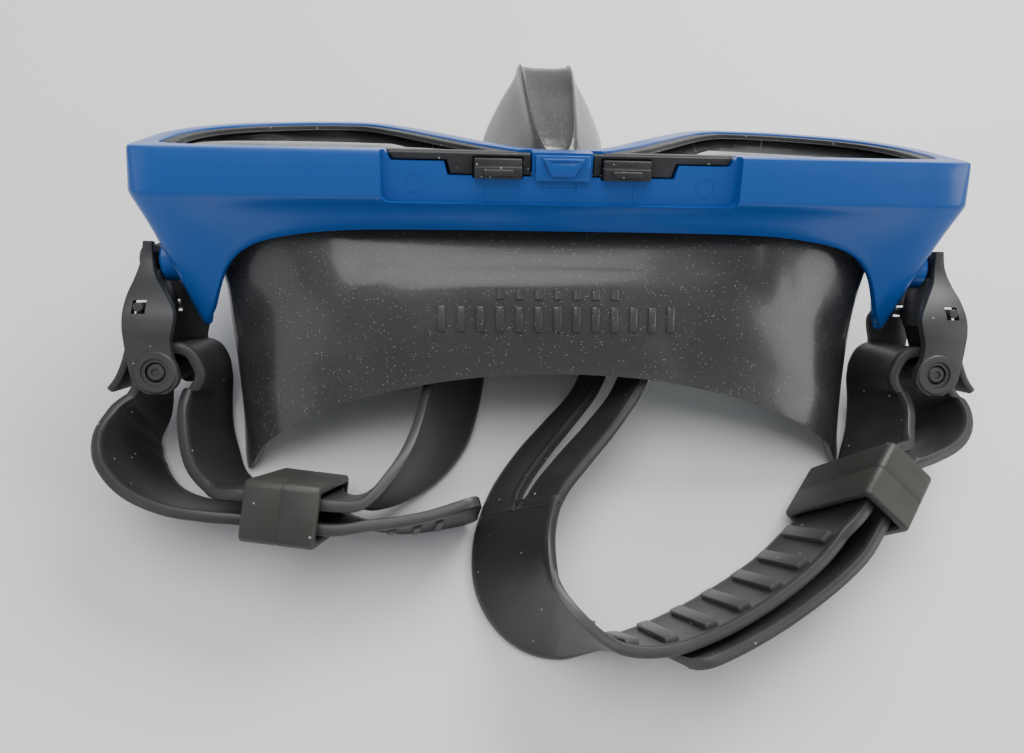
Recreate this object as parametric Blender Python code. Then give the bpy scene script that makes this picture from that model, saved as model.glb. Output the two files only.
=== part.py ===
"""Twin-lens diving mask with quick-adjust buckles and a silicone head strap.

The mask lies on its skirt with the lenses up and the forehead side towards -Y.
Mask pieces are drawn in the mask's own axes (x across, y from forehead to nose,
z out of the lenses) under one tilted empty; the floor is the plane Z = 0.
"""
import math

import bmesh
import bpy
from mathutils import Matrix, Vector

MM = 0.001

# ---- overall sizes -------------------------------------------------------
FRAME_WIDTH = 164.6 * MM        # across the frame's two sides at the front edge
FRAME_HEIGHT = 52.5 * MM        # forehead edge to the lowest cheek of the frame
MASK_TILT = math.radians(33.0)  # lens plane against the floor, forehead edge up
FRONT_HEIGHT = 54.1 * MM        # forehead edge of the frame above the floor
CLEARANCE = 0.3 * MM            # gap between pieces that touch

# ---- frame ----------------------------------------------------------------
PLATE = 2.4 * MM                # frame's front plate
SIDE_WALL = 2.0 * MM
TOP_WALL = 4.4 * MM             # thicker top wall that holds the recess
CREASE_DEPTH = 8.5 * MM
CREASE_FLARE = 0.8 * MM
RECESS_WIDTH = 69.6 * MM
RECESS_DEPTH = 1.8 * MM
RECESS_REACH = 9.7 * MM         # how far the recess runs back from the front

# ---- lens unit --------------------------------------------------------------
CARRIER_RIM = 2.6 * MM
CARRIER_FRONT = 0.4 * MM        # carrier's front face below the frame's front
CARRIER_BACK = 4.6 * MM
GLASS_THICKNESS = 2.6 * MM
GLASS_SINK = 1.4 * MM           # glass below the frame's front
LATCH_WIDTH = 9.2 * MM
LATCH_LENGTH = 3.6 * MM
LATCH_OFFSET = 12.5 * MM        # latch centre from the mask's centre
LATCH_TRAVEL = 1.2 * MM
CLIP_WIDTH = 10.6 * MM

# ---- skirt ------------------------------------------------------------------
SKIRT_WALL = 2.0 * MM
FLANGE_FRONT = 4.9 * MM
FLANGE_BACK = 7.6 * MM
NOSE_WALL = 1.8 * MM
SKIRT_MIDDLE = 27.5 * MM        # middle of the skirt's front below the forehead edge
CAP_SHARE_X = 0.92              # hollow behind the skirt's front against the flange
CAP_SHARE_Y = 0.76
RETAINER_THICKNESS = 2.4 * MM

# ---- buckle -----------------------------------------------------------------
STRAP_WIDTH = 19.0 * MM
STRAP_THICKNESS = 2.2 * MM
BUCKLE_LEAN = math.radians(50.0)  # roller axis below the horizontal
CHEEK = 1.8 * MM
PIVOT_TO_ROLLER = 22.0 * MM
ROLLER_RADIUS = 2.6 * MM
PIN_RADIUS = 1.7 * MM
YOKE_HALF = 2.8 * MM            # cheeks' inner faces from the middle, at the pivot
BOSS_RADIUS = 4.6 * MM
LUG_RADIUS = 4.2 * MM
LUG_PIN_RADIUS = 1.6 * MM
BUCKLE_OFFSET = 3.7 * MM        # roller axis inboard of the frame's widest point
LEVER_THICKNESS = 1.5 * MM

# ---- keeper -----------------------------------------------------------------
KEEPER_LENGTH = 13.6 * MM
KEEPER_WALL = 1.6 * MM
LAYER_GAP = 2.2 * MM            # between the two strap layers inside a keeper

SHAPE_WIDTH = 164.6 * MM        # size that the outline points below are drawn at
SHAPE_HEIGHT = 52.5 * MM
SCALE_X = FRAME_WIDTH / SHAPE_WIDTH
SCALE_Y = FRAME_HEIGHT / SHAPE_HEIGHT

# Right half of the frame, top centre round to the nose arch, in mm:
# front x, front y, depth, rear x, rear y.
FRAME_STATIONS = [
    (0, 0, 15.6, 0, 2.6), (20, 0, 15.6, 20, 2.6), (41, 0, 15.9, 41, 2.6),
    (53, 0, 17.0, 52.5, 2.6), (63, 0, 19.2, 61, 2.7), (70.8, 0, 23.8, 66.4, 2.9),
    (78, 0, 33.0, 70.4, 3.2), (81.4, 1.1, 36.4, 72.9, 4.2),
    (82.1, 5, 35.0, 73.8, 8), (82.3, 13, 27.0, 75.6, 15), (82.3, 22, 20.0, 77, 22),
    (79.2, 34, 15.0, 75.5, 32.5), (71.5, 43.8, 12.0, 69, 41.5), (59.5, 50, 8.0, 58.5, 48.8),
    (47, 52.5, 4.6, 47, 52.2), (38.5, 50.5, 4.6, 38.6, 50.3), (30, 41.5, 4.6, 30.1, 41.4),
    (21.5, 29.5, 4.6, 21.6, 29.4), (13.5, 17.5, 4.6, 13.6, 17.4),
    (7, 9.6, 4.6, 7, 9.5), (0, 7.4, 4.6, 0, 7.3),
]

# Right lens opening in the frame's front plate, closed.
LENS_OPENING = [
    (8.6, 4.4), (24, 4.2), (42, 4.2), (60, 4.2), (72.5, 4.3), (77.4, 6.8), (78.6, 14),
    (78.2, 23), (74.8, 32.6), (68, 40.2), (57.6, 46), (47, 48.3), (40.6, 46.6),
    (33.4, 39), (25, 27), (17, 15.4), (11, 8.2),
]

# Opening in the skirt behind each lens.
SKIRT_WINDOW = [
    (17, 11), (40, 10.8), (64, 10.8), (70, 14), (70.2, 24), (65.5, 33.5), (57, 40),
    (47, 42), (38.5, 38), (29.5, 27.5), (21.5, 17),
]

# Outer surface of the skirt, right half, one ring per level from the frame to the face.
FLANGE_RING = [
    (0, 5.2), (20, 5.2), (38, 5.2), (54, 5.2), (67, 5.3), (76.4, 7.2), (78.6, 16),
    (77.4, 27), (71, 37.6), (59, 45.6), (42, 49.2), (20, 50), (0, 50),
]
NECK_RING = [
    (0, 8.2, -8.0), (20, 8.2, -8.0), (38, 8.2, -8.0), (53, 8.2, -8.0), (64, 8.4, -8.0),
    (72, 10.2, -8.0), (74.4, 17, -8.0), (73.2, 26.5, -8.0), (67.4, 36, -8.0),
    (56.5, 44.4, -8.2), (41, 50, -8.2), (20, 52, -8.2), (0, 52.5, -8.2),
]
COLLAR_RING = [
    (0, 8.2, -12.5), (20, 8.2, -12.5), (38, 8.2, -12.6), (53, 8.2, -13), (63.5, 8.4, -14),
    (70.6, 10.6, -16), (73.4, 17, -15), (73, 27, -13), (67.6, 37, -11.5),
    (56.5, 46.5, -10.8), (41, 53, -10.5), (21, 57.5, -10), (0, 58.5, -9.8),
]
SHOULDER_RING = [
    (0, 5.4, -17.5), (20, 5.4, -17.5), (38, 5.4, -18), (51, 5.6, -20), (60, 6.2, -25),
    (67.2, 8.4, -32), (71, 16, -28), (72.4, 27, -20.5), (68.6, 38.5, -15.5),
    (57.5, 49.5, -12.8), (42, 58, -11.6), (22, 65, -10.8), (0, 67, -10.5),
]
PANEL_RING = [
    (0, -0.8, -26), (20, -0.8, -26.6), (38, -0.6, -29), (51, 0.4, -33.5), (59.5, 2, -38.5),
    (65.8, 5, -45), (69.8, 14, -39.5), (70.4, 26.5, -31), (66.4, 40, -23.5),
    (56, 53, -18), (41, 64, -14.6), (21, 71.5, -12.6), (0, 74, -12),
]
# The last ring: the arch over the forehead, then None where it follows the floor.
EDGE_RING = [
    (0, -6, -42.9), (20, -6, -44.2), (38, -6, -48), (52, -6, -53.6), (60, -5.4, -59.2),
    (65, -2.6, None), (67.6, 11, None), (67, 25, None), (62.4, 40, None),
    (53, 54, None), (38, 67, None), (20, 75.5, None), (0, 78.5, None),
]

# Nose pocket, from the bridge to the nostrils, in mm:
# y, half width at the base, half width at the ridge, ridge z, base z.
NOSE_SECTIONS = [
    (8.6, 3.0, 1.6, -2.2, -6.3), (13, 6.0, 3.4, 0.8, -6.3), (20, 9.2, 4.6, 4.0, -6.3),
    (30, 12.0, 5.4, 8.6, -6.3), (39, 13.6, 5.9, 12.8, -6.3), (45, 14.2, 6.1, 14.6, -6.3),
    (50, 14.0, 5.9, 14.0, -7.5), (54, 13.0, 5.2, 10.5, -8.8), (57, 11.6, 4.3, 4.0, -9.2),
    (59, 10.0, 3.5, -3.0, -9.6),
]

# Buckle cheek, from the pivot end to the roller, in mm:
# distance before the roller, inboard edge, outboard edge (both from the roller axis),
# and the share of the way in from the strap's side to the yoke's.
CHEEK_STATIONS = [
    (-25.6, 2.3, 4.1, 1.0), (-22, 2.3, 4.6, 1.0), (-18.6, 1.2, 5.2, 0.77), (-15, -1.6, 5.8, 0.37),
    (-11.6, -3.6, 6.0, 0.09), (-8.6, -3.4, 6.0, 0), (-6, -2.9, 5.8, 0), (-3, -3.2, 5.4, 0),
    (0, -3.6, 4.6, 0),
]
LEVER_PATH = [(3.0, -12.6), (4.6, -9.4), (5.9, -5.4), (7.0, -1.6), (8.4, 1.6), (10.2, 4.0)]
LEVER_HINGE = (3.0, -12.6)
SPRING_PATH = [(1.9, -19.9), (1.8, -18.0), (1.0, -15.4), (0.7, -12.4), (1.0, -9.6)]

# Route of the strap's centre line in mm over the floor, with the lean of its width
# (unit-like vector) and its width relative to STRAP_WIDTH.
LEFT_TAIL = [
    (-16, -52.9, 9.6, 0, -0.22), (-24, -55.1, 9.6, 0, -0.28), (-31, -56.3, 10.0, 0, -0.32),
    (-38, -56.6, 11.0, 0, -0.4),
]
LEFT_OUTER = [
    (-64.5, -53.9, 11.9, -0.05, -0.5), (-72, -52.6, 11.4, -0.14, -0.46),
    (-79, -49.4, 10.8, -0.24, -0.4), (-83.8, -44.6, 10.4, -0.32, -0.34),
    (-85.8, -39.4, 10.2, -0.28, -0.4), (-85.6, -34.8, 10.5, -0.2, -0.46),
    (-84.2, -30.4, 11.0, -0.1, -0.56),
]
LEFT_INNER = [
    (-71.9, -27.6, 12.1, -0.12, -0.52), (-71.8, -32.4, 10.9, -0.2, -0.38),
    (-70.6, -37.4, 10.6, -0.26, -0.3), (-68.6, -42.6, 10.8, -0.3, -0.26),
    (-65.4, -47.0, 11.6, -0.34, -0.32), (-61.9, -49.6, 12.6, -0.26, -0.42),
]
LEFT_HEAD = [
    (-39.2, -52.4, 13.2, 0.1, -0.44), (-35.4, -50.4, 12.4, 0.08, -0.24),
    (-30.6, -45.9, 11.2, -0.02, -0.02), (-26.2, -39.6, 10.1, -0.24, 0.12),
    (-22.9, -32, 9.3, -0.44, 0.14), (-20.8, -23.4, 9.0, -0.48, 0.12),
]
INNER_LOOP = [
    (-18.4, -13, 9.1, -0.4, 0.04), (-14.4, -5.6, 9.6, -0.14, 0.1), (-7.4, -1.2, 9.7, -0.02, 0.14),
    (0.4, -0.4, 9.7, 0.04, 0.12), (8.2, -3, 9.7, 0.12, 0.08), (13.6, -8.4, 9.5, 0.3, 0.04),
]
LOBE = [
    (14.6, -15.6, 9.0, 0.48, -0.04), (11.2, -24.4, 8.8, 0.54, -0.18), (5.4, -32.6, 8.8, 0.58, -0.28),
    (-0.8, -40.6, 8.9, 0.6, -0.32), (-6.2, -49, 9.0, 0.64, -0.22), (-9.2, -58, 9.0, 0.66, -0.06),
    (-9.2, -66.4, 9.0, 0.6, 0.08), (-6, -73.6, 9.2, 0.4, 0.12), (0.4, -78.4, 9.6, 0.16, 0.0),
]
RIGHT_RUN = [
    (8, -79.9, 9.4, 0.08, -0.3), (15.6, -79, 9.1, 0.12, -0.42), (23, -76.5, 9.1, 0.18, -0.44),
    (30.2, -73.2, 9.3, 0.2, -0.44), (37.4, -69.3, 9.9, 0.22, -0.42), (44.2, -64.8, 11.0, 0.24, -0.38),
    (49.6, -60.2, 12.4, 0.26, -0.32),
]
RIGHT_INNER = [
    (67.0, -42.2, 12.0, 0.24, -0.3), (69.8, -37.2, 11.1, 0.24, -0.32), (71.6, -32.2, 10.9, 0.18, -0.38),
    (72.0, -27.6, 12.1, 0.1, -0.52),
]
RIGHT_OUTER = [
    (84.0, -30.4, 11.0, 0.1, -0.56), (83.4, -34.8, 10.4, 0.22, -0.46), (81.2, -38.4, 10.3, 0.28, -0.38),
    (77.6, -41.4, 10.7, 0.3, -0.34), (72.6, -44.2, 11.4, 0.3, -0.3),
]
RIGHT_TAIL = [
    (52.6, -64.0, 11.6, 0.28, -0.32), (46.8, -68.2, 10.6, 0.26, -0.38), (39.8, -72.4, 9.8, 0.24, -0.42),
    (32.4, -76.3, 9.3, 0.22, -0.44), (25.2, -79.6, 9.1, 0.2, -0.44), (19.4, -81.9, 9.1, 0.16, -0.42),
]
# Roller bend, from the outboard side over the top to the inboard side,
# in shares of the bend's radius: outboard, back from the roller.
ROLLER_BEND = [
    (1.2, 1.1), (1.06, 0.42), (0.98, -0.16), (0.74, -0.66), (0.3, -0.96), (-0.26, -1.1),
    (-0.9, -1.12), (-1.42, -0.9), (-1.76, -0.36), (-1.9, 0.3),
]
KEEPERS = {
    "left": dict(centre=(-50.7, -53.4, 13.0), run=(0.99, -0.139), lean=(0.0, -0.54)),
    "right": dict(centre=(60.0, -52.4, 13.0), run=(-0.62, -0.785), lean=(0.27, -0.24)),
}
LOOP_TURN = -1.0                # the frame's loop runs to +x first, then to +y
PAD_WIDENING = 1.16             # strap at the back of the head against its ends


# ---- helpers ----------------------------------------------------------------
def clear_scene():
    for old in list(bpy.data.objects):
        bpy.data.objects.remove(old, do_unlink=True)


def make_material(name, colour, roughness, metallic=0.0, transmission=0.0):
    material = bpy.data.materials.new(name)
    material.use_nodes = True
    shader = material.node_tree.nodes["Principled BSDF"]
    shader.inputs["Base Color"].default_value = (*colour, 1.0)
    shader.inputs["Roughness"].default_value = roughness
    shader.inputs["Metallic"].default_value = metallic
    shader.inputs["Transmission Weight"].default_value = transmission
    return material


def make_empty(name, parent=None, location=(0, 0, 0), rotation=(0, 0, 0)):
    empty = bpy.data.objects.new(name, None)
    bpy.context.collection.objects.link(empty)
    empty.location = location
    empty.rotation_euler = rotation
    empty.parent = parent
    return empty


def add_mesh(name, verts, faces, material, parent, cutter=False):
    mesh = bpy.data.meshes.new(name)
    mesh.from_pydata([tuple(v) for v in verts], [], faces)
    shape = bmesh.new()
    shape.from_mesh(mesh)
    bmesh.ops.recalc_face_normals(shape, faces=shape.faces)
    shape.to_mesh(mesh)
    shape.free()
    obj = bpy.data.objects.new(name, mesh)
    bpy.context.collection.objects.link(obj)
    obj.parent = parent
    if cutter:
        obj.hide_render = True
        obj.display_type = "WIRE"
    else:
        mesh.materials.append(material)
        mesh.shade_smooth()
        mesh.set_sharp_from_angle(angle=math.radians(35))
    return obj


def ring_faces(count, rings, wrap_rings):
    """Quads between successive rings of equal length."""
    faces = []
    last = rings if wrap_rings else rings - 1
    for i in range(last):
        a, b = i * count, ((i + 1) % rings) * count
        for j in range(count):
            k = (j + 1) % count
            faces.append((a + j, a + k, b + k, b + j))
    return faces


def loft(name, rings, material, parent, closed=False, cutter=False):
    """Solid through rings; a closed one wraps round like a tyre, the others get end faces."""
    count = len(rings[0])
    verts = [v for ring in rings for v in ring]
    faces = ring_faces(count, len(rings), closed)
    if not closed:
        faces.append(tuple(range(count)))
        faces.append(tuple(range(len(verts) - count, len(verts))))
    return add_mesh(name, verts, faces, material, parent, cutter)


def prism(name, outline, z_low, z_high, material, parent, cutter=False):
    rings = [[Vector((x, y, z)) for x, y in outline] for z in (z_low, z_high)]
    return loft(name, rings, material, parent, cutter=cutter)


def cylinder(name, start, end, radius, material, parent, sides=24, cutter=False):
    start, end = Vector(start), Vector(end)
    axis = (end - start).normalized()
    side = axis.orthogonal().normalized()
    up = axis.cross(side)
    angles = [2 * math.pi * i / sides for i in range(sides)]
    spokes = [side * math.cos(a) * radius + up * math.sin(a) * radius for a in angles]
    rings = [[end_point + spoke for spoke in spokes] for end_point in (start, end)]
    return loft(name, rings, material, parent, cutter=cutter)


def box(name, low, high, material, parent, cutter=False):
    outline = [(low[0], low[1]), (high[0], low[1]), (high[0], high[1]), (low[0], high[1])]
    return prism(name, outline, low[2], high[2], material, parent, cutter)


def boolean(obj, tool, operation="DIFFERENCE"):
    modifier = obj.modifiers.new(operation.title(), "BOOLEAN")
    modifier.operation = operation
    modifier.object = tool
    modifier.solver = "EXACT"
    tool.hide_render = True
    tool.display_type = "WIRE"


def catmull_rom(points, spans, closed):
    """Points on a smooth curve through tuples of any length."""
    count = len(points)
    result = []
    last = count if closed else count - 1
    for i in range(last):
        if closed:
            p = [points[(i + k) % count] for k in (-1, 0, 1, 2)]
        else:
            p = [points[min(max(i + k, 0), count - 1)] for k in (-1, 0, 1, 2)]
        for step in range(spans):
            t = step / spans
            result.append(tuple(
                0.5 * (2 * b + (c - a) * t + (2 * a - 5 * b + 4 * c - d) * t * t
                       + (3 * b - a - 3 * c + d) * t ** 3)
                for a, b, c, d in zip(*p)))
    if not closed:
        result.append(tuple(points[-1]))
    return result


def mirrored(half, x_fields=(0,)):
    """Full loop from a right half whose first and last points lie on the centre line."""
    left = [tuple(-v if i in x_fields else v for i, v in enumerate(p)) for p in half[-2:0:-1]]
    return list(half) + left


def offset(outline, distance):
    """Outline moved outwards by a distance; an outline runs clockwise seen from the front."""
    count = len(outline)
    area = sum(outline[i][0] * outline[(i + 1) % count][1] - outline[(i + 1) % count][0] * outline[i][1]
               for i in range(count))
    turn = 1.0 if area > 0 else -1.0
    result = []
    for i, (x, y) in enumerate(outline):
        before = Vector(outline[i - 1])
        after = Vector(outline[(i + 1) % count])
        tangent = (after - before).normalized()
        result.append((x + tangent.y * distance * turn, y - tangent.x * distance * turn))
    return result


def shrink(outline, distance):
    """Outline moved inwards, leaving out the points that a tight corner would fold over."""
    moved = offset(outline, -distance)
    return [p for p in moved if distance_to(outline, p) > 0.93 * distance]


def distance_to(outline, point):
    """Shortest distance from a point to a closed outline."""
    place = Vector(point)
    nearest = 1e9
    for i, end in enumerate(outline):
        a, b = Vector(outline[i - 1]), Vector(end)
        along = min(max((place - a).dot(b - a) / (b - a).length_squared, 0.0), 1.0)
        nearest = min(nearest, (place - a.lerp(b, along)).length)
    return nearest


def sized(points):
    """Outline points in mm brought to the mask's real width and height."""
    return [(p[0] * MM * SCALE_X, p[1] * MM * SCALE_Y) for p in points]


def flip(outline, side):
    return [(x * side, y) for x, y in outline]


def floor_z(y):
    """Mask z at which a point of that mask y lies on the floor."""
    return (y * math.sin(MASK_TILT) - FRONT_HEIGHT) / math.cos(MASK_TILT)


# ---- frame and lens units -----------------------------------------------------
def frame_loops():
    """The frame's outer loop at the front, its loop at the rear edge and the depths."""
    full = catmull_rom(mirrored(FRAME_STATIONS, x_fields=(0, 3)), 4, closed=True)
    front = sized([(p[0], p[1]) for p in full])
    rear = sized([(p[3], p[4]) for p in full])
    depth = [p[2] * MM for p in full]
    return front, rear, depth


def wall_at(x, y):
    """Thick wall behind the recess, thin elsewhere, and within the bridge over the nose arch."""
    if y >= TOP_WALL and abs(x) < LATCH_OFFSET:
        return min(SIDE_WALL, 0.9 * (y - TOP_WALL))
    near_top = y < TOP_WALL and abs(x) < 0.62 * FRAME_WIDTH / 2
    blend = min(max((0.62 * FRAME_WIDTH / 2 - abs(x)) / (0.1 * FRAME_WIDTH / 2), 0.0), 1.0)
    return SIDE_WALL + (TOP_WALL - SIDE_WALL) * blend if near_top else SIDE_WALL


def build_frame(parent, blue):
    front, rear, depth = frame_loops()
    crease = offset(front, CREASE_FLARE)
    crease_in, front_in, rear_in = [], [], []
    for i, (x, y) in enumerate(front):
        wall = wall_at(x, y)
        crease_in.append(offset_point(crease, i, -wall))
        front_in.append(offset_point(front, i, -wall))
        rear_in.append(offset_point(rear, i, -min(wall, SIDE_WALL)))
    sections = []
    for i in range(len(front)):
        crease_z = -min(CREASE_DEPTH, 0.55 * depth[i])
        flare = min(1.0, depth[i] / (2 * CREASE_DEPTH))
        mid = Vector(front[i]).lerp(Vector(crease[i]), flare)
        mid_in = Vector(front_in[i]).lerp(Vector(crease_in[i]), flare)
        sections.append([
            Vector((*front[i], 0.0)), Vector((*mid, crease_z)), Vector((*rear[i], -depth[i])),
            Vector((*rear_in[i], -depth[i])), Vector((*mid_in, crease_z)),
            Vector((*front_in[i], 0.0))])
    frame = loft("frame", sections, blue, parent, closed=True)
    plate = prism("frame_plate", offset(front, -0.6 * MM), -PLATE, 0.0, blue, parent, cutter=True)
    for side in (1, -1):
        opening = flip(lens_opening(), side)
        boolean(plate, prism(f"lens_cut_{side}", opening, -9 * MM, 3 * MM, blue, parent, cutter=True))
    boolean(frame, plate, "UNION")
    cut_recess(frame, parent, blue)
    for side in (1, -1):
        add_lug(frame, side, parent, blue)
    return frame


def offset_point(loop, index, distance):
    before = Vector(loop[index - 1])
    after = Vector(loop[(index + 1) % len(loop)])
    tangent = (after - before).normalized()
    x, y = loop[index]
    return (x - tangent.y * distance * LOOP_TURN, y + tangent.x * distance * LOOP_TURN)



def lens_opening(inset=0.0):
    outline = sized(catmull_rom(LENS_OPENING, 3, closed=True))
    return shrink(outline, inset) if inset else outline


def cut_recess(frame, parent, blue):
    """Shallow recess in the top wall, with the front lip cut away over the carriers."""
    half = RECESS_WIDTH / 2
    shelf = box("recess_cut", (-half, -3 * MM, -RECESS_REACH), (half, RECESS_DEPTH, 3 * MM),
                blue, parent, cutter=True)
    boolean(frame, shelf)
    for side in (1, -1):
        low = (LATCH_OFFSET - LATCH_WIDTH / 2 - CLEARANCE) * side
        high = (LATCH_OFFSET + LATCH_WIDTH / 2 + CLEARANCE) * side
        pocket = box(f"latch_pocket_{side}", (min(low, high), 0.0, -LATCH_LENGTH - 1.2 * MM - CLEARANCE),
                     (max(low, high), TOP_WALL + 2 * MM, -1.2 * MM + CLEARANCE), blue, parent, cutter=True)
        boolean(frame, pocket)
        for x_end, reach in ((half - 0.6 * MM, 2.0 * MM), (23.4 * MM, 4.6 * MM)):
            x_start = 5.9 * MM
            outline = [(x_start, 0.0), (x_end, 0.0), (x_end - 1.2 * MM, -reach), (x_start, -reach)]
            rings = [[Vector((x * side, y, z)) for x, z in outline]
                     for y in (RECESS_DEPTH - 1 * MM, TOP_WALL + 1.5 * MM)]
            boolean(frame, loft(f"lip_cut_{side}_{reach:.4f}", rings, blue, parent, cutter=True))


def pivot_point(side):
    """Buckle pivot in mask axes: on the frame's side, level with the roller."""
    mid = (STRAP_WIDTH + 2 * CLEARANCE) / 2 + CHEEK
    y = -30.5 * MM + PIVOT_TO_ROLLER * math.sin(BUCKLE_LEAN) + mid * math.cos(BUCKLE_LEAN)
    z = 24.6 * MM + PIVOT_TO_ROLLER * math.cos(BUCKLE_LEAN) - mid * math.sin(BUCKLE_LEAN)
    return Vector((side * (FRAME_WIDTH / 2 - BUCKLE_OFFSET), y, z))


def world_to_mask(point):
    x, y, z = point
    z -= FRONT_HEIGHT
    c, s = math.cos(MASK_TILT), math.sin(MASK_TILT)
    return Vector((x, y * c - z * s, y * s + z * c))


def add_lug(frame, side, parent, blue):
    """Round lug on the frame's side that carries the buckle's pivot pin."""
    pivot = world_to_mask(pivot_point(side))
    inner = pivot.x - side * 2.9 * MM
    outer = pivot.x + side * 1.35 * MM
    lug = cylinder(f"lug_{side}", (inner, pivot.y, pivot.z), (outer, pivot.y, pivot.z),
                   LUG_RADIUS, blue, parent, cutter=True)
    bore = cylinder(f"lug_bore_{side}", (inner + side * 1.0 * MM, pivot.y, pivot.z),
                    (outer + side * 3 * MM, pivot.y, pivot.z), LUG_PIN_RADIUS + CLEARANCE,
                    blue, parent, cutter=True)
    boolean(frame, lug, "UNION")
    boolean(frame, bore)


def build_lens_units(parent, black, glass):
    for side, word in ((1, "right"), (-1, "left")):
        outer = flip(lens_opening(CLEARANCE), side)
        inner = flip(lens_opening(CLEARANCE + CARRIER_RIM), side)
        carrier = prism(f"lens_carrier_{word}", outer, -CARRIER_BACK, -CARRIER_FRONT, black, parent)
        hole = prism(f"carrier_cut_{word}", inner, -9 * MM, 3 * MM, black, parent, cutter=True)
        boolean(carrier, hole)
        add_carrier_blocks(carrier, side, word, parent, black)
        pane = shrink(inner, CLEARANCE)
        prism(f"lens_{word}", pane, -GLASS_SINK - GLASS_THICKNESS, -GLASS_SINK, glass, parent)


def add_carrier_blocks(carrier, side, word, parent, black):
    """Steps on the carrier's top edge that fill the cut-away lip of the frame."""
    half = RECESS_WIDTH / 2
    for x_end, z_high, z_low in ((half - 0.6 * MM, 0.5 * MM, 1.7 * MM), (23.4 * MM, 0.5 * MM, 4.3 * MM)):
        x_start = 6.2 * MM
        outline = [(x_start, -z_high), (x_end - CLEARANCE - 0.4 * MM, -z_high),
                   (x_end - CLEARANCE - 1.5 * MM, -z_low), (x_start, -z_low)]
        rings = [[Vector((x * side, y, z)) for x, z in outline]
                 for y in (RECESS_DEPTH + 0.5 * MM, TOP_WALL + 1.2 * MM)]
        boolean(carrier, loft(f"block_{word}_{z_low:.4f}", rings, black, parent, cutter=True), "UNION")
    low = (LATCH_OFFSET - LATCH_WIDTH / 2 - CLEARANCE) * side
    high = (LATCH_OFFSET + LATCH_WIDTH / 2 + CLEARANCE) * side
    pocket = box(f"carrier_pocket_{word}", (min(low, high), -3 * MM, -LATCH_LENGTH - 1.2 * MM - CLEARANCE),
                 (max(low, high), RECESS_DEPTH + LATCH_TRAVEL + 0.6 * MM, -1.2 * MM + CLEARANCE),
                 black, parent, cutter=True)
    boolean(carrier, pocket)


def build_latches(parent, black):
    """Press tabs in the recess; each sinks into its pocket to free a lens carrier."""
    for side, word in ((1, "right"), (-1, "left")):
        latch = box(f"lens_latch_{word}",
                    (side * LATCH_OFFSET - LATCH_WIDTH / 2, -0.2 * MM, -LATCH_LENGTH - 1.2 * MM),
                    (side * LATCH_OFFSET + LATCH_WIDTH / 2, RECESS_DEPTH + 0.2 * MM, -1.2 * MM),
                    black, parent)
        add_bevel(latch, 0.35 * MM)


def add_bevel(obj, width, segments=1):
    bevel = obj.modifiers.new("Bevel", "BEVEL")
    bevel.width = width
    bevel.segments = segments
    bevel.limit_method = "ANGLE"


def build_bridge_clip(parent, blue):
    """Clip over the bridge, with a wedge-shaped hook that holds both carriers' inner ends."""
    half = CLIP_WIDTH / 2
    floor = RECESS_DEPTH - CLEARANCE
    clip = box("bridge_clip", (-half, 0.5 * MM, -5.2 * MM), (half, floor, -0.4 * MM), blue, parent)
    wedge = [(-4.0, -0.9), (4.0, -0.9), (2.2, -4.2), (-2.2, -4.2)]
    rings = [[Vector((x * MM, y, z * MM)) for x, z in wedge] for y in (-0.5 * MM, 1.0 * MM)]
    boolean(clip, loft("clip_wedge", rings, blue, parent, cutter=True), "UNION")
    return clip


# ---- skirt and retainer ---------------------------------------------------------
def skirt_ring(stations, level=None):
    """Ring of the skirt's surface; a missing z means the ring lies on the floor."""
    points = []
    for station in stations:
        x, y = station[0] * MM * SCALE_X, station[1] * MM * SCALE_Y
        if level is not None:
            z = level
        elif station[2] is None:
            z = floor_z(y)
        else:
            z = station[2] * MM
        points.append((x, y, z))
    return [Vector(p) for p in catmull_rom(mirrored(points), 3, closed=True)]


def inset_ring(ring, distance):
    flat = offset([(v.x, v.y) for v in ring], -distance)
    return [Vector((x, y, v.z)) for (x, y), v in zip(flat, ring)]


def inner_surface(rings, level, distance):
    """Ring moved in by a wall, square to the surface through its neighbours."""
    ring = rings[level]
    count = len(ring)
    moved = []
    for j, v in enumerate(ring):
        along = ring[(j + 1) % count] - ring[j - 1]
        down = rings[level + 1][j] - rings[level - 1][j]
        moved.append(v - down.cross(along).normalized() * distance)
    return moved


def on_floor(ring, outer):
    """Inner edge on the floor where the outer edge lies on it, and level with it over the arch."""
    lift = SKIRT_WALL * math.tan(MASK_TILT)
    return [Vector((v.x, v.y, floor_z(v.y))) if o.z - floor_z(o.y) < 0.05 * MM
            else Vector((v.x, v.y, v.z + lift)) for v, o in zip(ring, outer)]


def build_skirt(parent, silicone):
    outer = [skirt_ring(FLANGE_RING, -FLANGE_FRONT), skirt_ring(FLANGE_RING, -FLANGE_BACK),
             skirt_ring(NECK_RING), skirt_ring(COLLAR_RING), skirt_ring(SHOULDER_RING),
             skirt_ring(PANEL_RING), raised(skirt_ring(EDGE_RING))]
    inner = [on_floor(inset_ring(outer[6], SKIRT_WALL), outer[6])]
    inner += [inner_surface(outer, level, SKIRT_WALL) for level in (5, 4, 3)]
    middle = SKIRT_MIDDLE * SCALE_Y
    cap = [Vector((v.x * CAP_SHARE_X, middle + (v.y - middle) * CAP_SHARE_Y, -FLANGE_FRONT - SKIRT_WALL))
           for v in outer[0]]
    skirt = loft("skirt", outer + inner + [cap], silicone, parent)
    pocket = nose_loft("nose_outer", 0.0, silicone, parent)
    boolean(skirt, pocket, "UNION")
    boolean(skirt, nose_loft("nose_inner", NOSE_WALL, silicone, parent))
    for side in (1, -1):
        window = sized(catmull_rom(SKIRT_WINDOW, 2, closed=True))
        boolean(skirt, prism(f"window_{side}", flip(window, side), -7.3 * MM, 0.0, silicone, parent,
                             cutter=True))
    return skirt


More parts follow.
